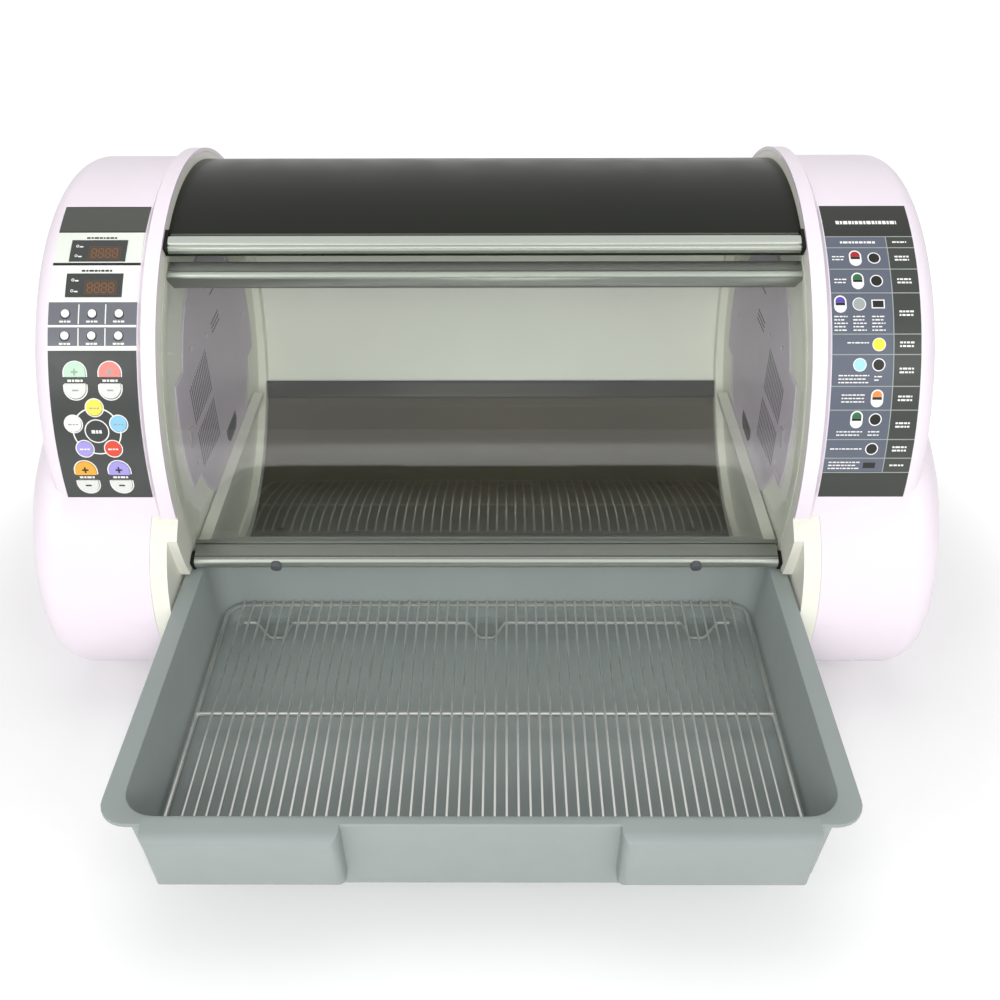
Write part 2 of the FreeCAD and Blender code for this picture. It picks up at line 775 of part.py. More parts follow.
def dipped_rod(y, level, radius):
    """Support rod under the wires, bent down to the tray floor at three places."""
    low = -dim("tray_floor") + dim("clearance") + radius
    dip = dim("rack_dip")
    reach = dim("rack_half") * 0.72
    spots = (-reach, 0.0, reach)
    end = reach + 4 * dip
    route = [Vector(-end, y, level)]
    for x in spots:
        for step, height in ((-2, level), (-1, low), (1, low), (2, level)):
            route.append(Vector(x + step * dip, y, height))
    route.append(Vector(end, y, level))
    pieces = []
    for first, second in zip(route, route[1:]):
        pieces.append(rod("support", first, second, radius))
    for point in route[1:-1]:
        ball = doc.addObject("Part::Sphere", "support_bend")
        ball.Radius = radius
        ball.Placement.Base = point
        pieces.append(ball)
    return pieces


def wire_rack():
    """Welded wire rack: a bent rod frame, close wires on top and dipped support rods below."""
    margin = dim("rack_margin")
    wire, rod_radius = dim("rack_wire") / 2, dim("rack_rod") / 2
    half = dim("rack_half") - rod_radius
    front = -dim("tray_front") - TRAY_OUT + margin
    rear = dim("tray_rear") - TRAY_OUT - margin
    level = -dim("rack_top") - wire
    bite = 0.5
    below = level - wire - rod_radius + bite
    pieces = rack_frame(front, rear, half, below, rod_radius)
    middle = (front + rear) / 2
    pieces.append(rod("cross_rod", Vector(-half, middle, below), Vector(half, middle, below),
                      rod_radius))
    count = int(2 * half / dim("rack_pitch"))
    pitch = 2 * half / count
    for i in range(1, count):
        x = -half + i * pitch
        pieces.append(rod("wire", Vector(x, front - 2, level), Vector(x, rear + 2, level), wire))
    thin = 1.5
    for y in (rear - 32, front + 32):
        pieces.extend(dipped_rod(y, level - wire - thin + bite, thin))
    node(fuse("wire_rack", *pieces), "wire_rack")


# Controls on the left pod and the instruction label on the right one.

def on_drum(x, height, radius):
    """Placement on the drum's skin: x across, height as arc length above the front horizontal."""
    phi = math.degrees(height / dim("drum_radius"))
    point = polar(radius, phi)
    return Placement(Vector(x, point.x, point.y), Rotation(Vector(1, 0, 0), 90.0 - phi))


def plate_on_drum(name, x_low, x_high, start, stop, base, thick):
    """Thin curved plate lying on the drum between two X stations and two angles."""
    body = new_body(name)
    sketch = sketch_in(body, "YZ_Plane", band_edges(base, base + thick, start, stop))
    pad = body.newObject("PartDesign::Pad", "Pad")
    pad.Profile = sketch
    pad.Length = x_high - x_low
    doc.recompute()
    body.Placement.Base.x = x_low
    return body


CONTROL_X = -385.0
ROUND_KEYS = {
    "key_yellow": (-0.5, 94.3),
    "key_white": (-23.0, 77.9),
    "key_blue": (22.0, 77.9),
    "key_violet": (-15.0, 52.0),
    "key_red": (13.5, 52.0),
}
CENTRE_KEY = (-0.5, 70.4)
CAPSULES = {
    "green": (-17.5, 121.0),
    "rose": (17.0, 121.0),
    "orange": (-18.5, 20.1),
    "purple": (15.5, 20.1),
}
WINDOWS = {"upper": 254.0, "lower": 215.5}
LAMPS = [(x, y) for y in (186.5, 164.5) for x in (-26.8, -0.3, 26.2)]


def round_key(name, x, height, radius):
    """Round key, or the hole for it: a flat cap on a stem that sinks through the overlay."""
    cap = doc.addObject("Part::Cylinder", name)
    cap.setExpression("Radius", expr(radius))
    cap.setExpression("Height", expr("key_rise + key_stem"))
    cap.Placement = on_drum(x, height, dim("drum_radius") + dim("label_sheet") - dim("key_stem"))
    return cap


def capsule_half(name, x, height, upper, grow=0.0):
    """One half of an upright capsule key pair, or the hole for it, grown by the key's gap."""
    body = new_body(name)
    half = dim("capsule_width") / 2 + grow
    reach = dim("capsule_length") / 2 - half + grow
    gap = dim("capsule_gap") / 2 - grow
    if upper:
        outline = [arc(half, 0, 180, (0, reach)), line((-half, reach), (-half, gap)),
                   line((-half, gap), (half, gap)), line((half, gap), (half, reach))]
    else:
        outline = [arc(half, 180, 360, (0, -reach)), line((half, -reach), (half, -gap)),
                   line((half, -gap), (-half, -gap)), line((-half, -gap), (-half, -reach))]
    add_pad(body, sketch_in(body, "XY_Plane", outline), "key_rise + key_stem")
    body.Placement = on_drum(x, height, dim("drum_radius") + dim("label_sheet") - dim("key_stem"))
    return body


def controls():
    """Printed overlay with its keys; each key sits in a hole of its own, a gap larger all round."""
    keys, holes = {}, []
    places = {name: (spot, "key_radius") for name, spot in ROUND_KEYS.items()}
    places["key_set"] = (CENTRE_KEY, "key_centre_radius")
    for name, ((x, height), radius) in places.items():
        keys[name] = round_key(name, CONTROL_X + x, height, radius)
        holes.append(round_key("key_hole", CONTROL_X + x, height, radius + " + key_gap"))
    for name, (x, height) in CAPSULES.items():
        for half, upper in (("plus", True), ("minus", False)):
            label = f"key_{name}_{half}"
            keys[label] = capsule_half(label, CONTROL_X + x, height, upper)
            holes.append(capsule_half("key_hole", CONTROL_X + x, height, upper, dim("key_gap")))
    overlay = plate_on_drum("overlay_sheet", -dim("label_outer"), -dim("label_inner"),
                            dim("label_bottom"), dim("label_top"), dim("drum_radius"),
                            dim("label_sheet"))
    return keys, overlay, holes


def label_plates(keys, overlay, holes):
    """Register the overlay, windows, lamps, keys and the instruction label."""
    base = dim("drum_radius")
    for name, key in keys.items():
        node(key, name)
    node(cut("control_overlay", overlay, *holes), "control_overlay")
    top = base + dim("label_sheet")
    half = dim("window_width") / 2
    tall = math.degrees(dim("window_height") / 2 / base)
    panes = []
    for height in WINDOWS.values():
        middle = math.degrees(height / base)
        panes.append(plate_on_drum("pane", CONTROL_X - half, CONTROL_X + half, middle - tall,
                                   middle + tall, top, 0.6))
    group("display_windows", panes)
    lenses = []
    for x, height in LAMPS:
        lens = doc.addObject("Part::Cylinder", "lens")
        lens.setExpression("Radius", expr("lamp_radius"))
        lens.Height = 0.8
        lens.Placement = on_drum(CONTROL_X + x, height, top)
        lenses.append(lens)
    group("indicator_lenses", lenses)
    plate = plate_on_drum("instruction", dim("label_inner"), dim("label_outer"),
                          dim("label_bottom"), dim("label_top"), base, 0.6)
    node(plate, "instruction_label")


# Working parts inside the pods.

def centre_on_duct(piece):
    """Move a cylinder's axis from the drum axis to the duct's centre."""
    piece.Placement.Base.y = DUCT.y
    piece.Placement.Base.z = DUCT.z


def fans():
    """Axial fan on the back of the right wall plate: ring frame with spokes, and its rotor."""
    back, drop = DUCT.y, DUCT.z
    seat = "wall_plane + wall_plate"
    outer = disc("fan_outer", "fan_radius + 4", seat, seat + " + fan_depth")
    bore = disc("fan_bore", "fan_radius + 1", "wall_plane", seat + " + fan_depth + 1")
    boss = disc("fan_boss", "fan_hub - 2", seat + " + fan_depth - 6", seat + " + fan_depth")
    pin = disc("fan_pin", "2", seat + " + 4", seat + " + fan_depth - 5")
    for piece in (outer, bore, boss, pin):
        centre_on_duct(piece)
    far = dim("wall_plane") + dim("wall_plate") + dim("fan_depth")
    reach = dim("fan_radius") + 2.5
    spokes = [block("spoke", (far - 4, back - reach, drop - 3), (far, back + reach, drop + 3)),
              block("spoke", (far - 4, back - 3, drop - reach), (far, back + 3, drop + reach))]
    frame = fuse("fan_frame", cut("fan_ring", outer, bore), boss, pin, *spokes)
    right = node(frame, "right_fan_frame")
    hub = disc("rotor_hub", "fan_hub", seat + " + 3", seat + " + fan_depth - 8")
    centre_on_duct(hub)
    blades = []
    count = int(dim("fan_blades"))
    near = dim("wall_plane") + dim("wall_plate") + 5
    for i in range(count):
        blade = block("blade", (0, 0, 0), (1, 1, 1))
        blade.Length, blade.Width, blade.Height = 2.0, 26.0, dim("fan_radius") - dim("fan_hub") + 2
        turn = Rotation(Vector(1, 0, 0), 360.0 * i / count)
        pitch = Rotation(Vector(0, 0, 1), 52.0)
        corner = turn.multVec(Vector(0, 0, dim("fan_hub") - 3) + pitch.multVec(Vector(-1, -13, 0)))
        blade.Placement = Placement(Vector(near + 8, back, drop) + corner, turn.multiply(pitch))
        blades.append(blade)
    bore = disc("rotor_bore", "2 + clearance", "wall_plane", seat + " + fan_depth")
    centre_on_duct(bore)
    rotor = node(cut("fan_rotor", fuse("rotor_solid", hub, *blades), bore), "right_fan_rotor")
    doc.recompute()
    mirror_node(right, "left_fan_frame")
    mirror_node(rotor, "left_fan_rotor")


def heater():
    """Finned heater block behind the right vent cover, on the back of the wall plate."""
    seat = dim("wall_plane") + dim("wall_plate") + dim("clearance")
    pieces = [block("heater_base", (seat, 20, -40), (seat + 6, 130, 80))]
    for i in range(10):
        z = -38.0 + i * 12.6
        pieces.append(block("heater_fin", (seat + 5, 23, z), (seat + 26, 127, z + 2)))
    node(fuse("heater", *pieces), "heater")


def boards():
    """Control board on stand-offs in the left pod and the mains power supply in the right."""
    seat = -dim("wall_plane") - dim("wall_plate") - dim("clearance")
    pieces = [block("board", (seat - 10, 10, -60), (seat - 8.4, 135, 80))]
    for y in (17, 128):
        for z in (-53, 73):
            pieces.append(rod("standoff", Vector(seat - 8.6, y, z), Vector(seat, y, z), 3.0))
    chips = [block("chip", (seat - 13, 40, -20), (seat - 9.8, 70, 10)),
             block("chip", (seat - 18, 80, 30), (seat - 9.8, 110, 60))]
    node(fuse("control_board", *pieces, *chips), "control_board")
    floor = -POD_BOTTOM + dim("shell_wall") + dim("clearance")
    node(block("power_supply", (362, 40, floor), (442, 150, floor + 48)), "power_supply")
    tank = block("tank_body", (-444, -170, floor), (-362, -60, floor + 84))
    neck = rod("tank_neck", Vector(-403, -115, floor + 83), Vector(-403, -115, floor + 92), 20.0)
    node(fuse("humidifier_tank", tank, neck), "humidifier_tank")
    node(rod("nebuliser", Vector(-403, -115, floor + 92 + dim("clearance")),
             Vector(-403, -115, floor + 106), 17.0), "nebuliser")


def chamber_light():
    """Light bar under the cover's rear edge, and the air sensor behind the right vent cover."""
    bar = new_body("light_bar")
    outline = band_edges(239.5, dim("cover_radius") - dim("cover_wall") - dim("clearance"),
                         142.0, 147.5)
    pad = add_pad(bar, sketch_in(bar, "YZ_Plane", outline), "2 * half_opening - 80", middle=True)
    round_edges(bar, pad, 1.5, along_x)
    node(bar, "light_bar")
    wall = dim("wall_plane")
    node(rod("air_sensor", Vector(wall - 1.5, *SENSOR), Vector(wall + 14, *SENSOR), 4.0),
         "air_sensor")


# Supply at the back of the right pod.

def supply():
    """Mains inlet and rocker switch set in the back of the right pod."""
    rear, proud = dim("pod_rear"), REAR_PROUD
    plate = block("inlet_plate", (INLET_X - 28, rear + 0.3, INLET_Z - 17.5),
                  (INLET_X + 28, rear + proud, INLET_Z + 17.5))
    barrel = block("inlet_barrel", (INLET_X - 24, rear - 22, INLET_Z - 14),
                   (INLET_X + 24, rear + 1, INLET_Z + 14))
    socket = block("inlet_socket", (INLET_X - 12, rear - 16, INLET_Z - 8.5),
                   (INLET_X + 12, rear + proud + 1, INLET_Z + 8.5))
    pins = [block("inlet_pin", (INLET_X + x - 1, rear - 18, INLET_Z + z - 2.2),
                  (INLET_X + x + 1, rear - 2, INLET_Z + z + 2.2))
            for x, z in ((-7.0, -2.0), (7.0, -2.0), (0.0, 2.5))]
    shell = cut("inlet_shell", fuse("inlet_solid", plate, barrel), socket)
    node(fuse("power_inlet", shell, *pins), "power_inlet")
    bezel = block("rocker_plate", (INLET_X - 17, rear + 0.3, ROCKER_Z - 13),
                  (INLET_X + 17, rear + proud, ROCKER_Z + 13))
    well = block("rocker_well", (INLET_X - 13.5, rear - 16, ROCKER_Z - 10),
                 (INLET_X + 13.5, rear + 1, ROCKER_Z + 10))
    mouth = block("rocker_mouth", (INLET_X - 11.5, rear - 12, ROCKER_Z - 8.2),
                  (INLET_X + 11.5, rear + proud + 1, ROCKER_Z + 8.2))
    pivot = rear - 4.0
    bore = rod("rocker_bore", Vector(INLET_X - 12.6, pivot, ROCKER_Z),
               Vector(INLET_X + 12.6, pivot, ROCKER_Z), ROCKER_PIN + dim("clearance"))
    node(cut("rocker_bezel", fuse("rocker_case", bezel, well), mouth, bore), "rocker_bezel")
    body = new_body("rocker_cap")
    outline = [(-4.0, -7.4), (4.4, -7.4), (6.4, 0.0), (4.4, 7.4), (-4.0, 7.4)]
    edges = loop(outline)
    add_pad(body, sketch_in(body, "YZ_Plane", edges, -11.1), "22.2")
    pin = rod("rocker_pin", Vector(-12.2, 0, 0), Vector(12.2, 0, 0), ROCKER_PIN)
    switch = fuse("rocker", body, pin)
    tilt = Rotation(Vector(1, 0, 0), -ROCKER_TILT)
    switch.Placement = Placement(Vector(INLET_X, pivot, ROCKER_Z), tilt)
    node(switch, "rocker_switch")


def feet():
    """Four rubber feet under the pods."""
    pads = []
    for x in (-412.0, 412.0):
        for y in (-160.0, 150.0):
            foot = doc.addObject("Part::Cylinder", "foot")
            foot.setExpression("Radius", expr("foot_radius"))
            foot.setExpression("Height", expr("foot_height"))
            foot.Placement.Base = Vector(x, y, -POD_BOTTOM - dim("foot_height"))
            pads.append(foot)
    group("feet", pads)


def check_document():
    """Stop with a plain message if any object failed or any sub-part is not a valid solid."""
    doc.recompute()
    for obj in doc.Objects:
        if "Invalid" in obj.State or "Error" in obj.State:
            raise RuntimeError(f"{obj.Name} ({obj.Label}) failed: {obj.State}")
    for label, obj in NODES.items():
        shape = obj.Shape
        if shape.isNull() or not shape.isValid() or not shape.Solids:
            raise RuntimeError(f"{label} has no valid solid")


def write_parts():
    """Write every sub-part to its own file and print its size."""
    os.makedirs("parts", exist_ok=True)
    for label, obj in NODES.items():
        obj.Shape.exportStep(f"parts/{label}.step")
        box = obj.Shape.BoundBox
        print(f"{label:24s} solids {len(obj.Shape.Solids):3d} volume {obj.Shape.Volume:12.1f}"
              f" x {box.XMin:8.1f} {box.XMax:8.1f} y {box.YMin:8.1f} {box.YMax:8.1f}"
              f" z {box.ZMin:8.1f} {box.ZMax:8.1f}")


housings()
inner_frames()
vent_covers()
fixed_bands()
hood_rails()
door()
tray()
runners()
wire_rack()
label_plates(*controls())
fans()
heater()
boards()
chamber_light()
supply()
feet()
check_document()
write_parts()
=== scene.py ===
"""Veterinary incubator: finishes, printed marks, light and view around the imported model.

The scene is in metres, in the shared frame. Class fields are in millimetres unless they say
otherwise. The chamber is a drum whose axis lies along X; a height on its skin is an arc length
measured upwards from the front horizontal.
"""

import json
import logging
import math
from dataclasses import dataclass, field, replace
from enum import Enum

import bmesh
import bpy
from mathutils import Matrix, Vector


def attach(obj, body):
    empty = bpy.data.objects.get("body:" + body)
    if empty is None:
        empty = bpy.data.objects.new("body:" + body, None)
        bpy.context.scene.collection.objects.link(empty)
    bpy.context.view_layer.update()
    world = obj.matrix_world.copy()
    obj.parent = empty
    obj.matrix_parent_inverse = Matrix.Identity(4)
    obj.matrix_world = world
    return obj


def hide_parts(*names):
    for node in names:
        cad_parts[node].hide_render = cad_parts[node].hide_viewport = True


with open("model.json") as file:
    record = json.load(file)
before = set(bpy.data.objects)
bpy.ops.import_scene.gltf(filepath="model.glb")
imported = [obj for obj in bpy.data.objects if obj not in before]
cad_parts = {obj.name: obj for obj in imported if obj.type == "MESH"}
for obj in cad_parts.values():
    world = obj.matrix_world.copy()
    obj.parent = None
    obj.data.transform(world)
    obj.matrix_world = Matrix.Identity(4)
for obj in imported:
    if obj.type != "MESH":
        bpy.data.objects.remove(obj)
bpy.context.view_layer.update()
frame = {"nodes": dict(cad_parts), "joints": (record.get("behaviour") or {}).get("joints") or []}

LOG = logging.getLogger("incubator")
MM = 0.001
HINGE = next(joint for joint in frame["joints"] if joint["name"] == "door_hinge")
AXIS_Y, AXIS_Z = HINGE["pos_m"][1:]

SRGB_KNEE, SRGB_SLOPE, SRGB_OFFSET, SRGB_POWER = 0.04045, 12.92, 0.055, 2.4
NOISE_LOW, NOISE_HIGH = 0.3, 0.7
SHARP_EDGE = math.radians(40.0)
SMOOTH_UP_TO = math.radians(38.0)
WORD_LENGTHS = (3.6, 2.2, 4.4, 2.9, 1.8, 3.2)
WORD_GAP = 0.9

Rgba = tuple[float, float, float, float]
Corner = tuple[float, float]
Tree = bpy.types.NodeTree
Node = bpy.types.Node
Socket = bpy.types.NodeSocket


def to_linear(code: str, gain: float = 1.0) -> Rgba:
    """Turn an sRGB colour into the linear one that shaders take.

    Args:
        code: colour as "#rrggbb".
        gain: factor on the linear colour, for a tone a little lighter or darker.

    Returns:
        Linear red, green, blue and an alpha of 1.
    """
    parts = [int(code[i:i + 2], 16) / 255 for i in (1, 3, 5)]
    curve = [c / SRGB_SLOPE if c <= SRGB_KNEE
             else ((c + SRGB_OFFSET) / (1.0 + SRGB_OFFSET)) ** SRGB_POWER for c in parts]
    return (*(min(1.0, c * gain) for c in curve), 1.0)


def join(tree: Tree, node: Node, links: dict[str | int, Socket]) -> None:
    """Link sockets to a node's inputs, by input name or number."""
    for key, socket in links.items():
        tree.links.new(socket, node.inputs[key])


def add(tree: Tree, kind: str, settings: dict | None = None, links: dict | None = None) -> Node:
    """Add a shader node with its settings and links.

    Args:
        tree: node tree that takes the node.
        kind: Blender's name for the node type.
        settings: node properties and input values, by name or input number.
        links: sockets to join to this node's inputs, by input name or number.

    Returns:
        The new node.
    """
    node = tree.nodes.new(kind)
    for key, value in (settings or {}).items():
        if isinstance(key, str) and hasattr(node, key):
            setattr(node, key, value)
        else:
            node.inputs[key].default_value = value
    join(tree, node, links or {})
    return node


def noise(tree: Tree, place: Socket, size: float, detail: float = 2.0) -> Socket:
    """Noise value with features of that many millimetres."""
    return add(tree, "ShaderNodeTexNoise", {"Scale": 1.0 / (size * MM), "Detail": detail},
               {"Vector": place}).outputs[0]


def spread(tree: Tree, value: Socket, low: float, high: float) -> Socket:
    """Map a noise value's usual range to low and high.

    Args:
        tree: the material's node tree.
        value: the noise value.
        low: result at the range's lower end.
        high: result at its upper end.

    Returns:
        Socket with the result.
    """
    return add(tree, "ShaderNodeMapRange",
               {"From Min": NOISE_LOW, "From Max": NOISE_HIGH, "To Min": low, "To Max": high},
               {"Value": value}).outputs[0]


def bump(tree: Tree, value: Socket, strength: float, height: float) -> Socket:
    """Normal of a surface that a value raises by up to that many millimetres."""
    return add(tree, "ShaderNodeBump", {"Strength": strength, "Distance": height * MM},
               {"Height": value}).outputs[0]


@dataclass(frozen=True)
class Finish:
    """A surface finish.

    Attributes:
        name: the material's common name.
        colour: sRGB colour of the surface.
        roughness: mean roughness of the surface.
        swing: how far the roughness falls and rises over the surface.
        tone: how far the colour swings either way.
        shine: specular level; a low one keeps a black part black under soft light.
        metallic: 1 for bare metal.
    """

    name: str
    colour: str
    roughness: float
    swing: tuple[float, float] = (0.0, 0.0)
    tone: float = 0.0
    shine: float = 0.5
    metallic: float = 0.0

    def material(self) -> bpy.types.Material:
        """The finish as a material, made once.

        Returns:
            The material.
        """
        found = bpy.data.materials.get(self.name)
        if found:
            return found
        made = bpy.data.materials.new(self.name)
        made.use_nodes = True
        tree = made.node_tree
        tree.nodes.clear()
        shader = add(tree, "ShaderNodeBsdfPrincipled",
                     {"Base Color": to_linear(self.colour), "Roughness": self.roughness,
                      "Specular IOR Level": self.shine, "Metallic": self.metallic})
        place = add(tree, "ShaderNodeTexCoord").outputs["Object"]
        add(tree, "ShaderNodeOutputMaterial", links={"Surface": self.shade(tree, shader, place)})
        return made

    def gloss(self, tree: Tree, value: Socket) -> Socket:
        """Roughness that follows a noise value."""
        fall, rise = self.swing
        return spread(tree, value, self.roughness - fall, self.roughness + rise)

    def tint(self, tree: Tree, value: Socket) -> Socket:
        """Colour that follows a noise value, from a lighter tone to a darker one.

        Args:
            tree: the material's node tree.
            value: the noise value.

        Returns:
            Socket with the colour.
        """
        light, dark = (to_linear(self.colour, 1.0 + swing) for swing in (self.tone, -self.tone))
        return add(tree, "ShaderNodeMix", {"data_type": "RGBA", 6: light, 7: dark},
                   {0: spread(tree, value, 0.0, 1.0)}).outputs[2]

    def shade(self, tree: Tree, shader: Node, place: Socket) -> Socket:
        """Dress the shader and return the socket that the material's output takes."""
        raise NotImplementedError


@dataclass(frozen=True)
class Moulded(Finish):
    """Injection-moulded plastic: a faint cloud in the colour and a fine moulded grain.

    Attributes:
        cloud: size of the colour's slow change.
        grain: grain size, coarser than the real spark texture so that it shows.
        depth: grain depth.
    """

    swing: tuple[float, float] = (0.05, 0.05)
    tone: float = 0.02
    cloud: float = 140.0
    grain: float = 1.6
    depth: float = 0.02

    def shade(self, tree: Tree, shader: Node, place: Socket) -> Socket:
        """Add the cloud, the grain and a slow change in gloss from handling.

        Args:
            tree: the material's node tree.
            shader: the shader to dress.
            place: Object coordinates.

        Returns:
            Socket that the material's output takes.
        """
        join(tree, shader, {
            "Base Color": self.tint(tree, noise(tree, place, self.cloud, 3.0)),
            "Roughness": self.gloss(tree, noise(tree, place, self.cloud / 4, 4.0)),
            "Normal": bump(tree, noise(tree, place, self.grain), 0.35, self.depth)})
        return shader.outputs["BSDF"]


@dataclass(frozen=True)
class Sheet(Finish):
    """Glossy cast sheet: long, faint waves in its surface and dust in its gloss.

    Attributes:
        wave: length of the surface's waves.
        height: height of the waves.
        dust: size of the patches that dust dulls.
    """

    swing: tuple[float, float] = (0.02, 0.03)
    tone: float = 0.04
    wave: float = 160.0
    height: float = 0.12
    dust: float = 38.0

    def shade(self, tree: Tree, shader: Node, place: Socket) -> Socket:
        """Add the waves and the dust.

        Args:
            tree: the material's node tree.
            shader: the shader to dress.
            place: Object coordinates.

        Returns:
            Socket that the material's output takes.
        """
        join(tree, shader, {
            "Base Color": self.tint(tree, noise(tree, place, self.wave, 1.0)),
            "Roughness": self.gloss(tree, noise(tree, place, self.dust, 0.0)),
            "Normal": bump(tree, noise(tree, place, self.wave, 0.0), 1.0, self.height)})
        return shader.outputs["BSDF"]


@dataclass(frozen=True)
class Drawn(Finish):
    """Extruded or rolled metal: fine lines along X in colour, gloss and height.

    Attributes:
        line: width of the drawn lines, wider than real so that they show.
        length: length of a drawn line.
        depth: depth of the lines.
    """

    swing: tuple[float, float] = (0.07, 0.07)
    tone: float = 0.04
    metallic: float = 1.0
    line: float = 0.7
    length: float = 180.0
    depth: float = 0.01

    def shade(self, tree: Tree, shader: Node, place: Socket) -> Socket:
        """Add lines drawn out along the bar.

        Args:
            tree: the material's node tree.
            shader: the shader to dress.
            place: Object coordinates.

        Returns:
            Socket that the material's output takes.
        """
        along = add(tree, "ShaderNodeMapping", {"Scale": (self.line / self.length, 1.0, 1.0)},
                    {"Vector": place}).outputs[0]
        lines = noise(tree, along, self.line, 3.0)
        join(tree, shader, {"Base Color": self.tint(tree, lines),
                            "Roughness": self.gloss(tree, lines),
                            "Normal": bump(tree, lines, 0.25, self.depth)})
        return shader.outputs["BSDF"]


@dataclass(frozen=True)
class Wire(Finish):
    """Polished round wire: bright metal with slight dull spots where it was drawn.

    Attributes:
        spots: size of the dull spots.
    """

    swing: tuple[float, float] = (0.06, 0.08)
    metallic: float = 1.0
    spots: float = 9.0

    def shade(self, tree: Tree, shader: Node, place: Socket) -> Socket:
        """Add the dull spots."""
        join(tree, shader, {"Roughness": self.gloss(tree, noise(tree, place, self.spots, 3.0))})
        return shader.outputs["BSDF"]


@dataclass(frozen=True)
class Clear(Finish):
    """Cast acrylic sheet: clear, nearly colourless, with faint wipe marks in its gloss.

    Attributes:
        wipes: size of the wipe marks.
        ior: refractive index.
    """

    swing: tuple[float, float] = (0.05, 0.0)
    wipes: float = 45.0
    ior: float = 1.49

    def shade(self, tree: Tree, shader: Node, place: Socket) -> Socket:
        """Let light through to what is behind, as a thin clear sheet does.

        Args:
            tree: the material's node tree.
            shader: the shader to dress.
            place: Object coordinates.

        Returns:
            Socket that the material's output takes.
        """
        join(tree, shader, {"Roughness": self.gloss(tree, noise(tree, place, self.wipes, 4.0))})
        shader.inputs["Transmission Weight"].default_value = 1.0
        shader.inputs["IOR"].default_value = self.ior
        through = add(tree, "ShaderNodeBsdfTransparent", {"Color": to_linear(self.colour)})
        path = add(tree, "ShaderNodeLightPath")
        return add(tree, "ShaderNodeMixShader", links={
            0: path.outputs["Is Shadow Ray"], 1: shader.outputs["BSDF"],
            2: through.outputs["BSDF"]}).outputs[0]


@dataclass(frozen=True)
class Banded(Finish):
    """Printed film on the drum: flat printed fields stacked up its arc, under a satin laminate.

    Attributes:
        fields: lower edge of each field as an arc length, and its colour, from the bottom up.
        radius: radius of the skin that the arc lengths are measured on.
        margins: arc lengths that the print reaches below the first edge and above the last.
        split: X station past which the second set of fields applies.
        second: the second set of fields.
        laminate: size of the laminate's duller patches.
    """

    swing: tuple[float, float] = (0.04, 0.04)
    fields: tuple[tuple[float, str], ...] = ()
    radius: float = 252.0
    margins: tuple[float, float] = (10.0, 60.0)
    split: float = 0.0
    second: tuple[tuple[float, str], ...] = ()
    laminate: float = 18.0

    def ramp(self, tree: Tree, turn: Socket, fields: tuple[tuple[float, str], ...]) -> Socket:
        """Colour of the fields by the angle round the drum.

        Args:
            tree: the material's node tree.
            turn: the angle above the front horizontal, in radians.
            fields: lower edge and colour of each field, from the bottom up.

        Returns:
            Socket with the colour.
        """
        low, high = fields[0][0] - self.margins[0], fields[-1][0] + self.margins[1]
        share = add(tree, "ShaderNodeMapRange",
                    {"From Min": low / self.radius, "From Max": high / self.radius},
                    {"Value": turn})
        node = add(tree, "ShaderNodeValToRGB", links={0: share.outputs[0]})
        node.color_ramp.interpolation = "CONSTANT"
        stops = node.color_ramp.elements
        stops[0].color = to_linear(fields[0][1])
        stops.remove(stops[1])
        for edge, colour in fields[1:]:
            stop = stops.new((edge - low) / (high - low))
            stop.color = to_linear(colour)
        return node.outputs[0]

    def shade(self, tree: Tree, shader: Node, place: Socket) -> Socket:
        """Print the fields and lay the laminate over them.

        Args:
            tree: the material's node tree.
            shader: the shader to dress.
            place: Object coordinates.

        Returns:
            Socket that the material's output takes.
        """
        parts = add(tree, "ShaderNodeSeparateXYZ", links={0: place})
        rise = add(tree, "ShaderNodeMath", {"operation": "SUBTRACT", 1: AXIS_Z},
                   {0: parts.outputs[2]})
        reach = add(tree, "ShaderNodeMath", {"operation": "SUBTRACT", 0: AXIS_Y},
                    {1: parts.outputs[1]})
        turn = add(tree, "ShaderNodeMath", {"operation": "ARCTAN2"},
                   {0: rise.outputs[0], 1: reach.outputs[0]}).outputs[0]
        colour = self.ramp(tree, turn, self.fields)
        if self.second:
            past = add(tree, "ShaderNodeMath", {"operation": "GREATER_THAN", 1: self.split * MM},
                       {0: parts.outputs[0]})
            other = self.ramp(tree, turn, self.second)
            colour = add(tree, "ShaderNodeMix", {"data_type": "RGBA"},
                         {0: past.outputs[0], 6: colour, 7: other}).outputs[2]
        gloss = self.gloss(tree, noise(tree, place, self.laminate, 4.0))
        join(tree, shader, {"Base Color": colour, "Roughness": gloss})
        return shader.outputs["BSDF"]


CONTROL_FIELDS = ((-6.0, "#3c403d"), (150.0, "#eef0ea"), (153.5, "#6b6f75"), (197.5, "#eef0ea"),
                  (236.6, "#141512"), (239.2, "#e6ebe2"), (275.5, "#23241f"), (277.0, "#474a43"),
                  (310.5, "#23241f"))
LABEL_LEFT = ((-6.0, "#30342e"), (25.0, "#5c6270"), (270.5, "#2a2c27"))
LABEL_RIGHT = ((-6.0, "#30342e"), (25.0, "#3b3f3a"), (270.5, "#2a2c27"))


